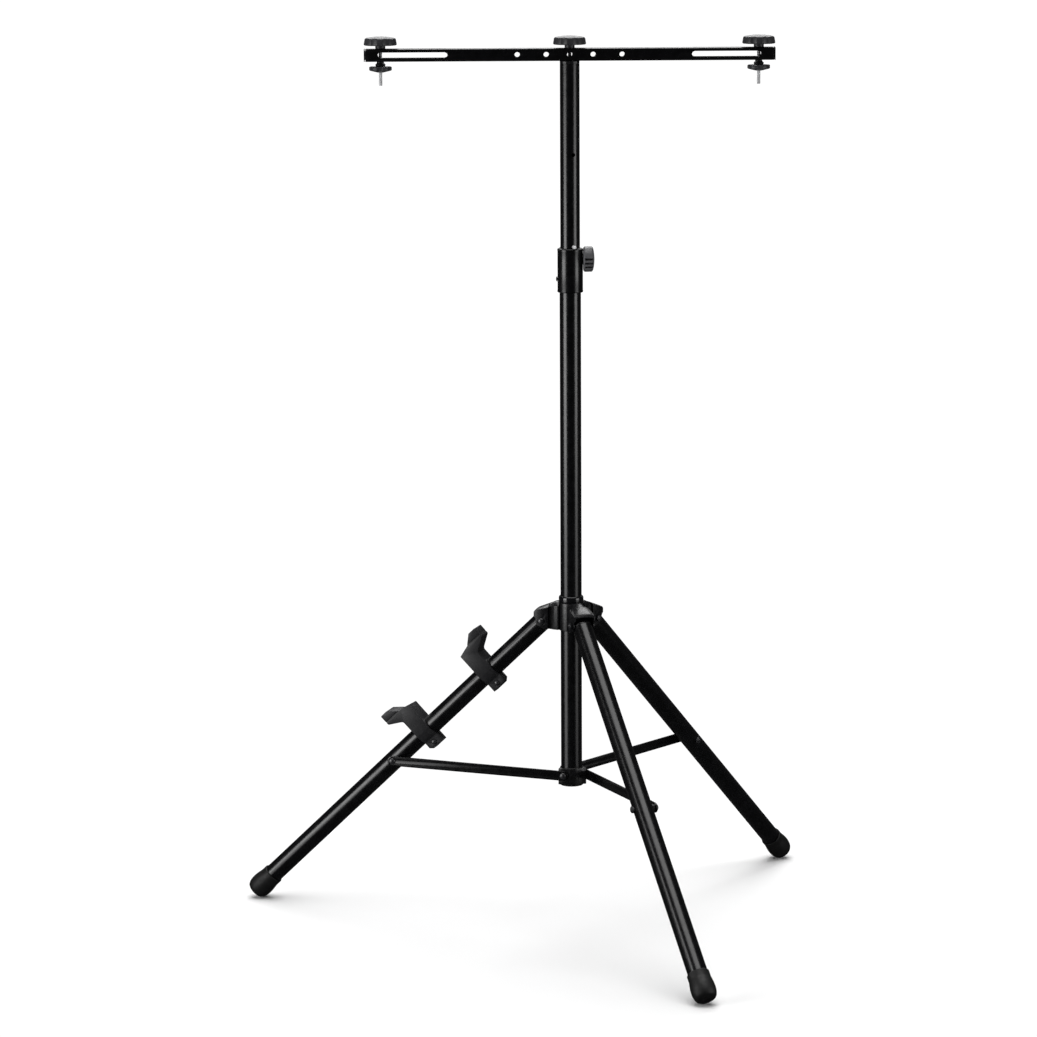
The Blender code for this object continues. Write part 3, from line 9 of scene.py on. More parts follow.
import bmesh
import bpy
from mathutils import Matrix, Vector


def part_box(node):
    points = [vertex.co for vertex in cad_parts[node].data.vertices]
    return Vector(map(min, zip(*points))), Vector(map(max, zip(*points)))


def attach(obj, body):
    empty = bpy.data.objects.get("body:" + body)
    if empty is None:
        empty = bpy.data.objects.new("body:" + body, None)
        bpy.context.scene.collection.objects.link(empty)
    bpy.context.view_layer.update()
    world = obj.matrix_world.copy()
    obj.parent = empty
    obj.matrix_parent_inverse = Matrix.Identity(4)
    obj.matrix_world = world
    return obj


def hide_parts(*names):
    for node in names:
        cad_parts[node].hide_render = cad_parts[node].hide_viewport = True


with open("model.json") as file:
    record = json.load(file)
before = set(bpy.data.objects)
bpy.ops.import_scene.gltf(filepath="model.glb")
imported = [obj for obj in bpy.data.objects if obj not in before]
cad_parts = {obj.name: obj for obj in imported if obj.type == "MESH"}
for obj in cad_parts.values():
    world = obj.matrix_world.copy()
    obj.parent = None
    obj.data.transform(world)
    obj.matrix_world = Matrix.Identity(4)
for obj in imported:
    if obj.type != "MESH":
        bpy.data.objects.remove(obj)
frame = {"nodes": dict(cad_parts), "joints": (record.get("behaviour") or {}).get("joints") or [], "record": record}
NODES = frame["nodes"]
JOINTS = {joint["name"]: joint for joint in frame["joints"]}
BODIES = frame["record"]["behaviour"]["bodies"]
BODY_OF = {node: body for body, nodes in BODIES.items() for node in nodes}
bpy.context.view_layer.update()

# Camera, relative to the foot of the mast's axis
CAMERA_PLACE = (-0.1348, -6.583, 1.7728)
CAMERA_YAW = 0.4194
CAMERA_PITCH = 9.4159
CAMERA_ROLL = -0.2829
CAMERA_LENS_MM = 140.178
CAMERA_SENSOR_MM = 36.0
CAMERA_REACH = 200.0

# Soft boxes: name, place, height on the mast's axis that it faces, width, height, radiance
SOFT_BOXES = (
    ("light_left_top", (-2.70, -1.45, 1.88), 1.88, 1.7, 1.0, 3.4),
    ("light_left", (-2.70, -1.45, 0.66), 0.66, 1.7, 0.9, 6.0),
    ("light_left_low", (-2.70, -1.45, -0.25), -0.25, 1.7, 0.9, 2.4),
    ("light_right_top", (2.70, -1.45, 1.85), 1.85, 1.5, 1.0, 1.8),
    ("light_right", (2.70, -1.45, 0.75), 0.75, 1.5, 0.9, 3.8),
    ("light_right_low", (2.70, -1.45, -0.1), -0.1, 1.5, 0.8, 1.2),
    ("light_back", (0.0, 2.6, 3.3), 0.8, 2.6, 1.6, 4.9),
    ("light_horizon", (0.0, 4.6, 2.45), 1.4, 3.4, 0.9, 0.9),
)
SKY_STRENGTH = 2.1
SKY_ANGLE = 52.0
WORLD_FILL = 0.035
WORLD_BACKDROP = 1.05
FLOOR_RADIUS = 0.95
FLOOR_FACETS = 96
FLOOR_DROP = 0.0004
FLOOR_WHITE = 0.95
FLOOR_ROUGHNESS = 0.9

# The middle part of a noise texture's range, which is spread over a finish's own range
ROUGHNESS_SPAN = (0.35, 0.65)
SHADES_SPAN = (0.4, 0.6)

# Sizes of the pieces, which follow those of the solids they stand for
MAST_TUBE_RADIUS = 0.0175
TUBE_WALL = 0.0012
UPPER_TUBE_RADIUS = 0.0160
LEG_TUBE_RADIUS = 0.016
LEG_SPREAD = 46.0
LEG_LENGTH = 0.718
LEG_BRACE_DISTANCE = 0.3625
PIN_RADIUS = 0.0029
PIN_AZIMUTH = -69.7
PIN_HOLE_PITCH = 0.150
PIN_HOLE_STEPS = (-2, -1, 0, 1)
PIVOT_BOLT_RADIUS = 0.0030
STUD_RADIUS = 0.0030
KNOB_NECK_RADIUS = 0.0082
KNOB_NECK_HEIGHT = 0.0048
KNOB_LOBES = 8
KNOB_LOBE_DEPTH = 0.0016
STAR_NUT_LOBES = 6
STAR_NUT_LOBE_DEPTH = 0.0018
SPACER_NECK_RADIUS = 0.0058
COLLAR_RADIUS = 0.0208
COLLAR_LIP_RADIUS = 0.0211
COLLAR_SEAT = 0.0368
HUB_RING_RADIUS = 0.0205
HUB_RING_HEIGHT = 0.0110
HUB_BUSH_RADIUS = 0.0189
HUB_BUSH_BORE = 0.0178
HOLE_GAP = 0.0003
SLEEVE_GAP = 0.0004

# Detail of the scene's own pieces
TUBE_EDGE = 0.0003
CUTTER_REACH = 0.03
AXIS_RADIUS = 0.00002
MERGE_DISTANCE = 0.00001
FLAT_ANGLE = 1.0
LOBE_POWER = 0.7
STUD_PITCH = 0.0010
STUD_THREAD_DEPTH = 0.00045
STUD_ROWS_PER_TURN = 5
STUD_TIP = 0.0008
STUD_TIP_SLOPE = 0.8
FOOT_GROOVES = (0.0062, 0.0084)
FOOT_GROOVE_HALF_WIDTH = 0.0005
FOOT_GROOVE_DEPTH = 0.0004
FOOT_RECESS_RADIUS = 0.0052
FOOT_RECESS_DEPTH = 0.0008
FOOT_SOCKET_FLOOR = 0.0080
FOOT_SOCKET_MOUTH = 0.0466
CLAMP_GROOVE_DEPTH = 0.0026
CLAMP_GROOVE_STEP = 20.0
CLAMP_GROOVE_WIDTH = 9.5
CLAMP_GROOVE_SLOPE = 2.0
CLAMP_GROOVED_ARC = 94.0
CLAMP_FIRST_GROOVE = 5.0
CLAMP_KNOB_TURN = 8.0
# Painted shade in the clamp knob's grooves: faces between these ends along the knob and deeper than this take
# black rubber
CLAMP_GROOVE_SHADE_START = 0.002
CLAMP_GROOVE_SHADE_MARGIN = 0.003
CLAMP_GROOVE_SHADE_DEPTH = 0.6 * CLAMP_GROOVE_DEPTH
CAP_CORNER = 0.0018
CAP_CORNER_STEP = 15

# Facets round a form
TURNED_FACETS = 72
RING_FACETS = 96
BOSS_FACETS = 48
CUTTER_FACETS = 40
KNOB_FACETS = 160
STAR_NUT_FACETS = 132
CLAMP_KNOB_FACETS = 240
STUD_FACETS = 28

# Edges at least this sharp stay sharp in the shading
SHARP = 34.0
SHARP_RIM = 38.0
SHARP_KNOB = 42.0
SHARP_CAP = 45.0
SHARP_RUBBER = 50.0
SHARP_THREAD = 60.0
SHARP_NONE = 180.0

# Widths of rounded edges
ROUND_HUB = 0.0009
ROUND_HOOK = 0.0007
ROUND_STRIP = 0.0005
ROUND_BRACKET = 0.0005
ROUND_BAR = 0.0004
ROUND_FITTING = 0.0004
ROUND_KNOB = 0.0004
ROUND_BOLT = 0.0003


def middle_of(node):
    low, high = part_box(node)
    return (Vector(low) + Vector(high)) / 2


def extent(node, axis=2):
    low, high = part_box(node)
    return low[axis], high[axis]


def radius_of(node):
    """Half the width along X of a node whose axis is vertical."""
    low, high = extent(node, 0)
    return (high - low) / 2


MAST = Vector((*middle_of("mast_lower_tube").xy, 0.0))


def link(item):
    bpy.context.scene.collection.objects.link(item)
    return item


def make_camera():
    yaw, pitch, roll = radians(CAMERA_YAW), radians(CAMERA_PITCH), radians(CAMERA_ROLL)
    forward = Vector((sin(yaw) * cos(pitch), cos(yaw) * cos(pitch), -sin(pitch)))
    level = Vector((cos(yaw), -sin(yaw), 0))
    rise = level.cross(forward)
    right = level * cos(roll) + rise * sin(roll)
    up = rise * cos(roll) - level * sin(roll)
    camera = link(bpy.data.objects.new("camera", bpy.data.cameras.new("camera")))
    place = Matrix((right, up, -forward)).transposed().to_4x4()
    place.translation = MAST + Vector(CAMERA_PLACE)
    camera.matrix_world = place
    camera.data.sensor_width = CAMERA_SENSOR_MM
    camera.data.lens = CAMERA_LENS_MM
    camera.data.clip_end = CAMERA_REACH
    bpy.context.scene.camera = camera


# Studio


def soft_box(name, place, faced_height, width, height, radiance):
    """A rectangular light whose face has the given radiance, turned to the mast's axis."""
    light = bpy.data.lights.new(name, "AREA")
    light.shape = "RECTANGLE"
    light.size = width
    light.size_y = height
    light.energy = radiance * pi * width * height
    item = link(bpy.data.objects.new(name, light))
    aim = (Vector((0, 0, faced_height)) - Vector(place)).to_track_quat("-Z", "Y")
    item.matrix_world = Matrix.Translation(Vector(place) + MAST) @ aim.to_matrix().to_4x4()


def make_sky():
    sun = bpy.data.lights.new("light_sky", "SUN")
    sun.energy = SKY_STRENGTH
    sun.angle = radians(SKY_ANGLE)
    link(bpy.data.objects.new("light_sky", sun))


def make_floor():
    """A matt white disc that no glossy surface mirrors."""
    floor = bmesh.new()
    bmesh.ops.create_circle(floor, cap_ends=True, radius=FLOOR_RADIUS, segments=FLOOR_FACETS)
    mesh = bpy.data.meshes.new("floor")
    floor.to_mesh(mesh)
    floor.free()
    ground = link(bpy.data.objects.new("floor", mesh))
    ground.location = (0, 0, -FLOOR_DROP)
    ground.visible_glossy = False
    paint = bpy.data.materials.new("floor_paint")
    paint.use_nodes = True
    shader = paint.node_tree.nodes["Principled BSDF"]
    shader.inputs["Base Color"].default_value = (FLOOR_WHITE, FLOOR_WHITE, FLOOR_WHITE, 1)
    shader.inputs["Roughness"].default_value = FLOOR_ROUGHNESS
    shader.inputs["Specular IOR Level"].default_value = 0.0
    mesh.materials.append(paint)


def make_world():
    """A white backdrop that lights the object only a little."""
    world = bpy.data.worlds.new("studio")
    world.use_nodes = True
    tree = world.node_tree
    background = tree.nodes["Background"]
    background.inputs["Color"].default_value = (1, 1, 1, 1)
    rays = tree.nodes.new("ShaderNodeLightPath")
    level = tree.nodes.new("ShaderNodeMapRange")
    level.inputs["To Min"].default_value = WORLD_FILL
    level.inputs["To Max"].default_value = WORLD_BACKDROP
    tree.links.new(rays.outputs["Is Camera Ray"], level.inputs["Value"])
    tree.links.new(level.outputs["Result"], background.inputs["Strength"])
    bpy.context.scene.world = world
    bpy.context.scene.view_settings.view_transform = "Standard"


def make_studio():
    for box in SOFT_BOXES:
        soft_box(*box)
    make_sky()
    make_floor()
    make_world()


# Materials


class Shader:
    """A Principled material with procedural colour, roughness and bump."""

    def __init__(self, name, colour, roughness, metallic, specular):
        self.material = bpy.data.materials.new(name)
        self.material.use_nodes = True
        self.tree = self.material.node_tree
        self.shader = self.tree.nodes["Principled BSDF"]
        self.shader.inputs["Base Color"].default_value = (*colour, 1)
        self.shader.inputs["Roughness"].default_value = roughness
        self.shader.inputs["Metallic"].default_value = metallic
        self.shader.inputs["Specular IOR Level"].default_value = specular
        self.normal = None

    def noise(self, scale, detail, rough=0.5):
        place = self.tree.nodes.new("ShaderNodeTexCoord")
        node = self.tree.nodes.new("ShaderNodeTexNoise")
        node.inputs["Scale"].default_value = scale
        node.inputs["Detail"].default_value = detail
        node.inputs["Roughness"].default_value = rough
        self.tree.links.new(place.outputs["Object"], node.inputs["Vector"])
        return node.outputs["Fac"]

    def vary_roughness(self, low, high, scale, detail=3.0):
        node = self.tree.nodes.new("ShaderNodeMapRange")
        node.inputs["From Min"].default_value = ROUGHNESS_SPAN[0]
        node.inputs["From Max"].default_value = ROUGHNESS_SPAN[1]
        node.inputs["To Min"].default_value = low
        node.inputs["To Max"].default_value = high
        self.tree.links.new(self.noise(scale, detail), node.inputs["Value"])
        self.tree.links.new(node.outputs["Result"], self.shader.inputs["Roughness"])

    def vary_colour(self, first, second, scale, detail=3.0):
        ramp = self.tree.nodes.new("ShaderNodeValToRGB")
        for element, place, shade in zip(ramp.color_ramp.elements, SHADES_SPAN, (first, second)):
            element.position = place
            element.color = (*shade, 1)
        self.tree.links.new(self.noise(scale, detail), ramp.inputs["Fac"])
        self.tree.links.new(ramp.outputs["Color"], self.shader.inputs["Base Color"])

    def add_bump(self, scale, depth, strength, detail=2.0, rough=0.5):
        node = self.tree.nodes.new("ShaderNodeBump")
        node.inputs["Strength"].default_value = strength
        node.inputs["Distance"].default_value = depth
        self.tree.links.new(self.noise(scale, detail, rough), node.inputs["Height"])
        if self.normal:
            self.tree.links.new(self.normal, node.inputs["Normal"])
        self.normal = node.outputs["Normal"]
        self.tree.links.new(self.normal, self.shader.inputs["Normal"])


def make_material(name, colour, roughness, rough, bumps, shades=(), metallic=0.0, specular=0.5):
    """One finish, built from its row in FINISHES."""
    shader = Shader(name, colour, roughness, metallic, specular)
    shader.vary_roughness(*rough)
    for bump in bumps:
        shader.add_bump(*bump)
    if shades:
        shader.vary_colour(*shades)
    return shader.material


# colour and roughness are the sockets' own values, under the noise; rough is low, high and noise
# scale; a bump is noise scale, depth and strength, then the noise's detail and roughness where they
# aren't the usual ones; shades are two colours and their noise scale
FINISHES = {
    "powder_coat": dict(
        colour=(0.003, 0.003, 0.004),
        roughness=0.22,
        rough=(0.20, 0.26, 120),
        bumps=[(1400, 0.00001, 0.3)],
        shades=((0.0012, 0.0012, 0.0016), (0.0022, 0.0022, 0.0028), 60),
    ),
    "gloss_coat": dict(
        colour=(0.004, 0.004, 0.005),
        roughness=0.14,
        rough=(0.12, 0.17, 200),
        bumps=[(900, 0.00001, 0.3)],
        specular=0.6,
    ),
    "cast_coat": dict(
        colour=(0.006, 0.006, 0.007),
        roughness=0.4,
        rough=(0.26, 0.38, 300),
        bumps=[(1100, 0.00005, 0.5, 3.0, 0.6), (260, 0.00008, 0.3)],
        shades=((0.002, 0.002, 0.0025), (0.005, 0.005, 0.006), 220),
        specular=0.42,
    ),
    "moulded": dict(
        colour=(0.02, 0.02, 0.022),
        roughness=0.42,
        rough=(0.36, 0.48, 400),
        bumps=[(1500, 0.00004, 0.5)],
        shades=((0.030, 0.030, 0.033), (0.040, 0.040, 0.044), 90),
    ),
    # a paler copy of moulded for the clamp knob: its lighter grey is painted light, standing in for frontal light
    # on its ribs and top
    "moulded_painted_lit": dict(
        colour=(0.11, 0.11, 0.117),
        roughness=0.42,
        rough=(0.34, 0.46, 400),
        bumps=[(1500, 0.00004, 0.5)],
        shades=((0.105, 0.105, 0.111), (0.125, 0.125, 0.131), 90),
    ),
    "moulded_matte": dict(
        colour=(0.011, 0.011, 0.013),
        roughness=0.45,
        rough=(0.40, 0.50, 400),
        bumps=[(1500, 0.00005, 0.5)],
        shades=((0.009, 0.009, 0.011), (0.013, 0.013, 0.015), 90),
    ),
    "nylon": dict(
        colour=(0.006, 0.006, 0.007),
        roughness=0.3,
        rough=(0.25, 0.36, 200),
        bumps=[(600, 0.00002, 0.4)],
        specular=0.45,
    ),
    "rubber": dict(
        colour=(0.004, 0.004, 0.004),
        roughness=0.5,
        rough=(0.46, 0.60, 250),
        bumps=[(1200, 0.00006, 0.5)],
        specular=0.35,
    ),
    # plated steel: a near-white base with little metal, the plating's pale tone with its glint painted in as
    # diffuse colour
    "zinc": dict(
        colour=(0.92, 0.93, 0.95),
        roughness=0.32,
        rough=(0.26, 0.40, 500),
        bumps=[(2500, 0.00002, 0.4)],
        shades=((0.90, 0.91, 0.93), (0.97, 0.97, 0.98), 350),
        metallic=0.2,
    ),
    "black_oxide": dict(
        colour=(0.012, 0.012, 0.014),
        roughness=0.3,
        rough=(0.24, 0.38, 600),
        bumps=[(2200, 0.00002, 0.4)],
        specular=0.8,
    ),
    "brass": dict(
        colour=(0.72, 0.53, 0.25),
        roughness=0.3,
        rough=(0.24, 0.4, 500),
        bumps=[(2500, 0.00002, 0.4)],
        metallic=1.0,
    ),
}
MATERIALS = {name: make_material(name, **finish) for name, finish in FINISHES.items()}

FINISH_OF = {
    "clamp_pad": "brass",
    "base_bracket": "cast_coat",
    "hub_casting": "cast_coat",
    "hub_bush": "gloss_coat",
    "mast_top_plug": "nylon",
    "upper_tube_guide": "nylon",
    "collar_rivet": "black_oxide",
}


def finish_of(name):
    if name in FINISH_OF:
        return FINISH_OF[name]
    if "bolt" in name or name.endswith("_brace_nut"):
        return "black_oxide"
    if name.endswith(("_stud", "_pin", "_ring")):
        return "zinc"
    if name.endswith(("_foot", "_clamp_spacer")):
        return "rubber"
    if name.endswith(("_end_fitting", "_brace_spacer")) or name.startswith("bar_end_cap"):
        return "nylon"
    if name.startswith("cable_hook"):
        return "moulded_matte"
    if name.endswith(("_grip", "_star_nut")):
        return "moulded"
    return "powder_coat"


# Mesh helpers


def settled(item):
    """Apply an object's modifiers to its mesh."""
    graph = bpy.context.evaluated_depsgraph_get()
    mesh = bpy.data.meshes.new_from_object(item.evaluated_get(graph))
    item.modifiers.clear()
    old = item.data
    item.data = mesh
    bpy.data.meshes.remove(old)


def stands_for(item, node, finish=None, sharp=SHARP):
    """Dress a detailed piece and let it stand for a node of the frame."""
    item.data.materials.clear()
    item.data.materials.append(MATERIALS[finish or finish_of(node)])
    item.data.shade_smooth()
    item.data.set_sharp_from_angle(angle=radians(sharp))
    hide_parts(node)
    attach(item, BODY_OF[node])


def new_piece(name, build, place=None):
    """A linked object made from a mesh under construction."""
    mesh = bpy.data.meshes.new(name + "_detail")
    if place:
        build.transform(place)
    bmesh.ops.recalc_face_normals(build, faces=build.faces)
    build.to_mesh(mesh)
    build.free()
    return link(bpy.data.objects.new(name + "_detail", mesh))


def loft(rings, closed=False):
    """A skin through rings of equal length, capped at both ends unless closed."""
    build = bmesh.new()
    rows = [[build.verts.new(point) for point in ring] for ring in rings]
    count = len(rows[0])
    pairs = list(zip(rows, rows[1:]))
    if closed:
        pairs.append((rows[-1], rows[0]))
    for low, high in pairs:
        for k in range(count):
            n = (k + 1) % count
            build.faces.new((low[k], low[n], high[n], high[k]))
    if not closed:
        build.faces.new(reversed(rows[0]))
        build.faces.new(rows[-1])
    return build


def ring_of(radii, height):
    """Evenly spaced points round Z, each at its own radius."""
    turns = [2 * pi * k / len(radii) for k in range(len(radii))]
    return [(radius * cos(turn), radius * sin(turn), height) for radius, turn in zip(radii, turns)]


def turned(profile, facets=TURNED_FACETS, closed=False):
    """A lathe form from (radius, height) points."""
    rings = [ring_of([max(radius, AXIS_RADIUS)] * facets, height) for radius, height in profile]
    return loft(rings, closed)


def cutter(radius, place):
    """A rod along Z of its place, long enough to pass through a tube."""
    rod = turned([(radius, -CUTTER_REACH), (radius, CUTTER_REACH)], CUTTER_FACETS)
    return new_piece("cutter", rod, place)


def combined(item, tools, operation):
    """Join tools to an object or cut them out of it, and remove them."""
    for tool in tools:
        change = item.modifiers.new("combine", "BOOLEAN")
        change.operation = operation
        change.solver = "EXACT"
        change.object = tool
    settled(item)
    for tool in tools:
        mesh = tool.data
        bpy.data.objects.remove(tool)
        bpy.data.meshes.remove(mesh)


def copied(node):
    """A copy of a node's mesh as an object of its own, cleaned for bevelling."""
    build = bmesh.new()
    build.from_mesh(NODES[node].data)
    bmesh.ops.remove_doubles(build, verts=build.verts, dist=MERGE_DISTANCE)
    bmesh.ops.dissolve_limit(
        build, angle_limit=radians(FLAT_ANGLE), verts=build.verts, edges=build.edges
    )
    return new_piece(node, build)


def rounded_copy(node, width, segments=2, angle=30.0):
    """A node's own form with its sharp edges rounded."""
    item = copied(node)
    bevel = item.modifiers.new("round", "BEVEL")
    bevel.width = width
    bevel.segments = segments
    bevel.limit_method = "ANGLE"
    bevel.angle_limit = radians(angle)
    bevel.use_clamp_overlap = True
    bevel.miter_outer = "MITER_ARC"
    settled(item)
    stands_for(item, node)


# Tubes


def tube_piece(node, radius, place, low, high, holes=()):
    """A thin-walled tube with rolled ends and its cross holes."""
    inner = radius - TUBE_WALL
    profile = [
        (inner, low),
        (radius - TUBE_EDGE, low),
        (radius, low + TUBE_EDGE),
        (radius, high - TUBE_EDGE),
        (radius - TUBE_EDGE, high),
        (inner, high),
    ]
    item = new_piece(node, turned(profile, closed=True), place)
    if holes:
        combined(item, [cutter(size + HOLE_GAP, where) for size, where in holes], "DIFFERENCE")
    stands_for(item, node)


def leg_frame(number):
    """Frame of a leg: origin at its pivot, Z down along the leg, X outward."""
    pivot = Vector(JOINTS[f"leg_{number}_fold"]["pos_m"])
    outward = (pivot - MAST).xy.normalized().to_3d()
    tilt = radians(LEG_SPREAD)
    down = outward * sin(tilt) - Vector((0, 0, cos(tilt)))
    side = Vector((0, 0, 1)).cross(outward)
    frame_of = Matrix((side.cross(down), side, down)).transposed().to_4x4()
    frame_of.translation = pivot
    return frame_of


def reach_in(node, place):
    """Lowest and highest Z of a node's vertices in a frame."""
    back = place.inverted()
    heights = [(back @ vertex.co).z for vertex in NODES[node].data.vertices]
    return min(heights), max(heights)


def make_tubes():
    upright = Matrix.Translation(MAST)
    tube_piece("mast_lower_tube", MAST_TUBE_RADIUS, upright, *extent("mast_lower_tube"))

    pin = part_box("safety_pin")
    pin_height = (pin[0][2] + pin[1][2]) / 2
    turn = Matrix.Rotation(radians(PIN_AZIMUTH), 4, "Z") @ Matrix.Rotation(pi / 2, 4, "Y")
    holes = []
    for step in PIN_HOLE_STEPS:
        place = Matrix.Translation(MAST + Vector((0, 0, pin_height + step * PIN_HOLE_PITCH)))
        holes.append((PIN_RADIUS, place @ turn))
    ends = extent("mast_upper_tube")
    tube_piece("mast_upper_tube", UPPER_TUBE_RADIUS, upright, *ends, holes)

    down = Matrix.Translation((0, 0, LEG_BRACE_DISTANCE))
    across = Matrix.Rotation(pi / 2, 4, "X")
    for number in (1, 2, 3):
        node = f"leg_{number}_tube"
        place = leg_frame(number)
        holes = [(PIVOT_BOLT_RADIUS, place @ down @ across)]
        tube_piece(node, LEG_TUBE_RADIUS, place, *reach_in(node, place), holes)


# Feet

FOOT_OUTLINE = [
    (0.0060, 0.0000),
    (0.0106, 0.0001),
    (0.0151, 0.0013),
    (0.0178, 0.0046),
    (0.0194, 0.0100),
    (0.0200, 0.0165),
    (0.0198, 0.0235),
    (0.0187, 0.0320),
    (0.0181, 0.0360),
    (0.0181, 0.0450),
    (0.0181, 0.0460),
    (0.0175, 0.0469),
    (0.0169, 0.0470),
]


def flowing(points, steps=5):
    """Points of a Catmull-Rom curve through a profile."""
    knots = [Vector(point) for point in points]
    knots = [2 * knots[0] - knots[1]] + knots + [2 * knots[-1] - knots[-2]]
    curve = []
    for a, b, c, d in zip(knots, knots[1:], knots[2:], knots[3:]):
        square = 2 * a - 5 * b + 4 * c - d
        cube = 3 * b - a - 3 * c + d
        for step in range(steps):
            t = step / steps
            curve.append(0.5 * (2 * b + (c - a) * t + square * t**2 + cube * t**3))
    curve.append(knots[-2])
    return curve


def make_feet():
    """Rubber caps that swell above the tread, with two fine grooves and a shallow recess below."""
    outer = []
    for radius, height in flowing(FOOT_OUTLINE):
        offs = [abs(height - ring) / FOOT_GROOVE_HALF_WIDTH for ring in FOOT_GROOVES]
        groove = sum(max(0.0, 1 - off) for off in offs)
        outer.append((radius - FOOT_GROOVE_DEPTH * groove, height))
    bore = LEG_TUBE_RADIUS + SLEEVE_GAP
    recess = [(0.0, FOOT_RECESS_DEPTH), (FOOT_RECESS_RADIUS, FOOT_RECESS_DEPTH)]
    socket = [(bore, FOOT_SOCKET_MOUTH), (bore, FOOT_SOCKET_FLOOR), (0.0, FOOT_SOCKET_FLOOR)]
    profile = recess + outer + socket
    flip = Matrix.Translation((0, 0, LEG_LENGTH)) @ Matrix.Rotation(pi, 4, "X")
    for number in (1, 2, 3):
        node = f"leg_{number}_foot"
        item = new_piece(node, turned(profile), leg_frame(number) @ flip)
        stands_for(item, node, sharp=SHARP_RUBBER)


# Knobs and hand nuts


def lobed(radius, depth, lobes, facets):
    """Radii round a grip whose rim is scalloped between its lobes."""
    waves = [cos(lobes * 2 * pi * k / facets) for k in range(facets)]
    return [radius - depth * max(0.0, -wave) ** LOBE_POWER for wave in waves]


def grip(levels, lobes, facets):
    """A lobed form from (height, radius, depth of the scallops) levels."""
    rings = []
    for height, radius, depth in levels:
        rings.append(ring_of(lobed(radius, depth, lobes, facets), height))
    return loft(rings)


def on_axis(node, height):
    place = middle_of(node)
    return Matrix.Translation((place.x, place.y, height))


def top_knob(node):
    """Hand knob with eight shallow scallops, a slight taper and a domed top."""
    low, high = extent(node)
    neck = KNOB_NECK_HEIGHT
    rise = high - low - neck
    radius = radius_of(node)
    depth = KNOB_LOBE_DEPTH
    levels = [
        (0.0, KNOB_NECK_RADIUS - 0.0003, 0.0),
        (0.0003, KNOB_NECK_RADIUS, 0.0),
        (neck - 0.0006, KNOB_NECK_RADIUS, 0.0),
        (neck - 0.0001, KNOB_NECK_RADIUS + 0.0007, 0.0),
        (neck + 0.0001, 0.60 * radius, 0.0),
        (neck + 0.0004, 0.93 * radius, 0.6 * depth),
        (neck + 0.0010, 0.98 * radius, 0.9 * depth),
        (neck + 0.0020, radius, depth),
        (neck + 0.0032, 0.997 * radius, depth),
        (neck + 0.70 * rise, 0.948 * radius, depth),
        (neck + 0.76 * rise, 0.932 * radius, 0.95 * depth),
        (neck + 0.81 * rise, 0.900 * radius, 0.8 * depth),
        (neck + 0.85 * rise, 0.845 * radius, 0.5 * depth),
        (neck + 0.92 * rise, 0.66 * radius, 0.22 * depth),
        (neck + 0.97 * rise, 0.42 * radius, 0.05 * depth),
        (neck + rise, 0.14 * radius, 0.0),
    ]
    item = new_piece(node, grip(levels, KNOB_LOBES, KNOB_FACETS), on_axis(node, low))
    stands_for(item, node, sharp=SHARP_KNOB)


def star_nut(node):
    """Hand nut with six lobes and a conical underside."""
    low, high = extent(node)
    height = high - low
    radius = radius_of(node)
    depth = STAR_NUT_LOBE_DEPTH
    levels = [
        (0.0, 0.28 * radius, 0.0),
        (0.02 * height, 0.32 * radius, 0.0),
        (0.26 * height, 0.86 * radius, 0.8 * depth),
        (0.32 * height, 0.95 * radius, 0.95 * depth),
        (0.42 * height, radius, depth),
        (0.84 * height, radius, depth),
        (0.93 * height, 0.97 * radius, 0.9 * depth),
        (0.99 * height, 0.90 * radius, 0.6 * depth),
        (height, 0.84 * radius, 0.5 * depth),
        (height, 0.50 * radius, 0.0),
    ]
    item = new_piece(node, grip(levels, STAR_NUT_LOBES, STAR_NUT_FACETS), on_axis(node, low))
    stands_for(item, node, sharp=SHARP_KNOB)


def spacer(node):
    """Rubber spacer: a short neck above a rounded foot."""
    low, high = extent(node)
    height = high - low
    bulge = radius_of(node)
    neck = SPACER_NECK_RADIUS
    bore = STUD_RADIUS + HOLE_GAP
    outline = [
        (0.90 * bulge, 0.0),
        (0.97 * bulge, 0.14 * height),
        (bulge, 0.32 * height),
        (0.93 * bulge, 0.50 * height),
        (neck, 0.70 * height),
    ]
    outer = [tuple(point) for point in flowing(outline)]
    profile = [(bore, 0.0)] + outer + [(neck, height), (bore, height)]
    item = new_piece(node, turned(profile, closed=True), on_axis(node, low))
    stands_for(item, node, sharp=SHARP_RUBBER)


def threaded_stud(node):
    """A stud with a cut helical thread and a chamfered tip."""
    low, high = extent(node)
    length = high - low
    steps = round(length / (STUD_PITCH / STUD_ROWS_PER_TURN))
    rings = []
    for step in range(steps + 1):
        height = length * step / steps
        tip = max(0.0, STUD_TIP - height, STUD_TIP - (length - height))
        phases = [(height / STUD_PITCH - k / STUD_FACETS) % 1.0 for k in range(STUD_FACETS)]
        thread = [STUD_RADIUS - 2 * STUD_THREAD_DEPTH * abs(phase - 0.5) for phase in phases]
        limit = STUD_RADIUS - STUD_TIP_SLOPE * tip
        rings.append(ring_of([min(radius, limit) for radius in thread], height))
    stands_for(new_piece(node, loft(rings), on_axis(node, low)), node, sharp=SHARP_THREAD)


def clamp_groove(turn):
    """Share of the groove's depth at a turn round the clamp knob: two ribbed quadrants."""
    local = (turn + CLAMP_KNOB_TURN) % 180.0
    if local >= CLAMP_GROOVED_ARC:
        return 0.0
    half_step = CLAMP_GROOVE_STEP / 2
    off = abs((local - CLAMP_FIRST_GROOVE + half_step) % CLAMP_GROOVE_STEP - half_step)
    edge = CLAMP_GROOVE_WIDTH / 2 + CLAMP_GROOVE_SLOPE / 2
    return min(1.0, max(0.0, (edge - off) / CLAMP_GROOVE_SLOPE))


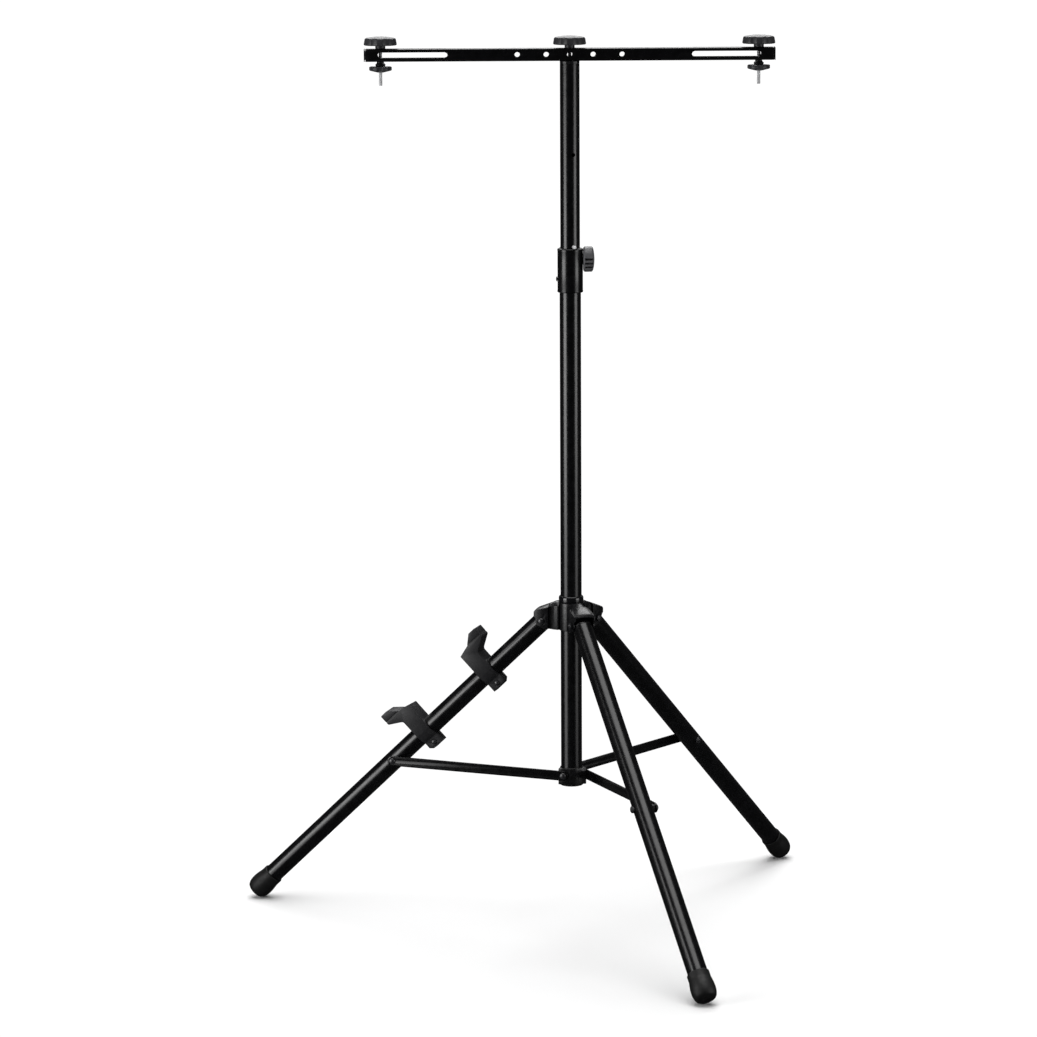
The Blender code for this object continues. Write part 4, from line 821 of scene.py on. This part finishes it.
def clamp_knob():
    """Hand knob of the collar clamp: two ribbed quadrants, two smooth ones and a domed end."""
    node = "clamp_knob_grip"
    low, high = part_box(node)
    radius = (high[2] - low[2]) / 2
    length = high[0] - low[0]
    # Height along the knob's axis, radius, share of the grooves' depth
    levels = [
        (0.0, 0.0098, 0.0),
        (-0.0010, 0.0100, 0.0),
        (-0.0010, radius - 0.0030, 0.0),
        (-0.0006, radius - 0.0020, 0.0),
        (0.0, radius - 0.0016, 0.0),
        (0.0004, radius - 0.0010, 0.0),
        (0.0011, radius - 0.0002, 0.0),
        (0.0016, radius, 0.5),
        (0.0024, radius, 1.0),
        (length - 0.0050, radius - 0.0002, 1.0),
        (length - 0.0038, radius - 0.0008, 0.7),
        (length - 0.0030, radius - 0.0018, 0.3),
        (length - 0.0022, radius - 0.0035, 0.0),
        (length - 0.0012, 0.66 * radius, 0.0),
        (length - 0.0004, 0.38 * radius, 0.0),
        (length, 0.10 * radius, 0.0),
    ]
    grooves = [clamp_groove(360.0 * k / CLAMP_KNOB_FACETS) for k in range(CLAMP_KNOB_FACETS)]
    rings = []
    for height, rim, share in levels:
        radii = [rim - share * groove * CLAMP_GROOVE_DEPTH for groove in grooves]
        rings.append(ring_of(radii, height))
    place = Matrix(
        (
            (0, 0, 1, low[0]),
            (-1, 0, 0, (low[1] + high[1]) / 2),
            (0, -1, 0, (low[2] + high[2]) / 2),
            (0, 0, 0, 1),
        )
    )
    item = new_piece(node, loft(rings), place)
    # the knob's pale grey is painted light
    stands_for(item, node, "moulded_painted_lit", sharp=SHARP_KNOB)
    # Painted shade: the groove floors take black rubber in place of the knob's grey
    item.data.materials.append(MATERIALS["rubber"])
    back = place.inverted()
    for face in item.data.polygons:
        spot = back @ face.center
        along = CLAMP_GROOVE_SHADE_START < spot.z < length - CLAMP_GROOVE_SHADE_MARGIN
        if along and spot.xy.length < radius - CLAMP_GROOVE_SHADE_DEPTH:
            face.material_index = 1


def make_knobs():
    for side in ("left", "centre", "right"):
        top_knob(f"{side}_knob_grip")
        threaded_stud(f"{side}_knob_stud")
    for side in ("left", "right"):
        star_nut(f"{side}_star_nut")
        spacer(f"{side}_clamp_spacer")
    clamp_knob()
    rounded_copy("hub_knob_grip", ROUND_KNOB)


# Collar, hub ring, bar ends and castings

# The boss under the clamp knob: (radius, distance from the mast's axis)
BOSS_OUTLINE = [(0.0092, 0.0186), (0.0090, 0.0213), (0.0084, 0.0220), (0.0050, 0.0220)]

# Lip of a bar end cap: (distance from the cap's face, growth of its outline)
CAP_OUTLINE = [
    (-0.0023, -0.0030),
    (-0.0013, -0.0034),
    (-0.0010, -0.0012),
    (-0.0009, 0.0003),
    (-0.0004, 0.0005),
    (-0.0001, -0.0008),
    (0.0, -0.0030),
]


def collar():
    """Cast collar with rolled rims at both ends and the boss under the clamp knob."""
    node = "clamp_collar"
    low, high = extent(node)
    lip = COLLAR_LIP_RADIUS
    bore = UPPER_TUBE_RADIUS + SLEEVE_GAP
    mast_bore = MAST_TUBE_RADIUS + HOLE_GAP
    seat = low + COLLAR_SEAT
    profile = [
        (mast_bore, low),
        (lip - 0.0012, low),
        (lip - 0.0004, low + 0.0004),
        (lip, low + 0.0012),
        (lip, low + 0.0028),
        (COLLAR_RADIUS, low + 0.0038),
        (COLLAR_RADIUS, high - 0.0046),
        (lip, high - 0.0036),
        (lip, high - 0.0016),
        (lip - 0.0004, high - 0.0006),
        (lip - 0.0014, high),
        (bore + 0.0006, high),
        (bore, high - 0.0006),
        (bore, seat),
        (mast_bore, seat),
    ]
    item = new_piece(node, turned(profile, closed=True), Matrix.Translation(MAST))
    knob = middle_of("clamp_knob_grip")
    sideways = Matrix.Translation((MAST.x, MAST.y, knob.z)) @ Matrix.Rotation(pi / 2, 4, "Y")
    boss = new_piece("clamp_boss", turned(BOSS_OUTLINE, BOSS_FACETS), sideways)
    combined(item, [boss], "UNION")
    stands_for(item, node, sharp=SHARP_RIM)


def hub_ring():
    """Glossy ring of the hub's bush, with its rolled top rim."""
    node = "hub_bush"
    low, high = extent(node)
    ring_low = high - HUB_RING_HEIGHT
    skin = HUB_RING_RADIUS
    profile = [
        (HUB_BUSH_BORE, low),
        (HUB_BUSH_RADIUS, low),
        (HUB_BUSH_RADIUS, ring_low),
        (skin - 0.0010, ring_low),
        (skin - 0.0003, ring_low + 0.0004),
        (skin, ring_low + 0.0012),
        (skin, high - 0.0032),
        (skin - 0.0002, high - 0.0022),
        (skin - 0.0007, high - 0.0010),
        (skin - 0.0014, high - 0.0002),
        (skin - 0.0019, high),
        (HUB_BUSH_BORE + 0.0008, high),
        (HUB_BUSH_BORE, high - 0.0010),
    ]
    item = new_piece(node, turned(profile, RING_FACETS, closed=True), Matrix.Translation(MAST))
    stands_for(item, node, sharp=SHARP_RIM)


def end_cap(node, sign):
    """Moulded cap in the bar's end, with a thin flared lip and a slightly domed face."""
    low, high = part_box(node)
    middle = (Vector(low) + Vector(high)) / 2
    half_y = (high[1] - low[1]) / 2
    half_z = (high[2] - low[2]) / 2
    face = high[0] if sign > 0 else low[0]
    rings = []
    for along_x, grow in CAP_OUTLINE:
        wide = half_y + grow - CAP_CORNER
        tall = half_z + grow - CAP_CORNER
        ring = []
        for side_y, side_z, start in ((1, 1, 0), (-1, 1, 90), (-1, -1, 180), (1, -1, 270)):
            for degrees in range(start, start + 90 + CAP_CORNER_STEP, CAP_CORNER_STEP):
                turn = radians(degrees)
                y = middle.y + side_y * wide + CAP_CORNER * cos(turn)
                z = middle.z + side_z * tall + CAP_CORNER * sin(turn)
                ring.append((face + sign * along_x, y, z))
        rings.append(ring)
    stands_for(new_piece(node, loft(rings)), node, sharp=SHARP_CAP)


def safety_ring():
    node = "safety_pin_ring"
    item = copied(node)
    fine = item.modifiers.new("fine", "SUBSURF")
    fine.levels = 2
    fine.render_levels = 2
    settled(item)
    stands_for(item, node, sharp=SHARP_NONE)


def make_castings():
    collar()
    hub_ring()
    rounded_copy("hub_casting", ROUND_HUB, segments=3)
    rounded_copy("base_bracket", ROUND_BRACKET)
    end_cap("bar_end_cap_left", -1)
    end_cap("bar_end_cap_right", 1)
    rounded_copy("crossbar_tube", ROUND_BAR, angle=40.0)
    safety_ring()
    for place in ("upper", "lower"):
        rounded_copy(f"cable_hook_{place}", ROUND_HOOK, segments=3)
    for number in (1, 2, 3):
        rounded_copy(f"brace_{number}_strip", ROUND_STRIP)
        rounded_copy(f"leg_pivot_bolt_{number}", ROUND_BOLT)
        rounded_copy(f"brace_inner_bolt_{number}", ROUND_BOLT)
        rounded_copy(f"brace_{number}_outer_bolt", ROUND_BOLT)
        rounded_copy(f"leg_{number}_brace_nut", ROUND_BOLT)
        rounded_copy(f"leg_{number}_end_fitting", ROUND_FITTING)
    for place in ("upper", "lower"):
        rounded_copy(f"hook_bolt_{place}", ROUND_BOLT)


def dress_nodes():
    for name, node in NODES.items():
        for slot in node.material_slots:
            slot.material = MATERIALS[finish_of(name)]


make_camera()
make_studio()
dress_nodes()
make_tubes()
make_feet()
make_knobs()
make_castings()
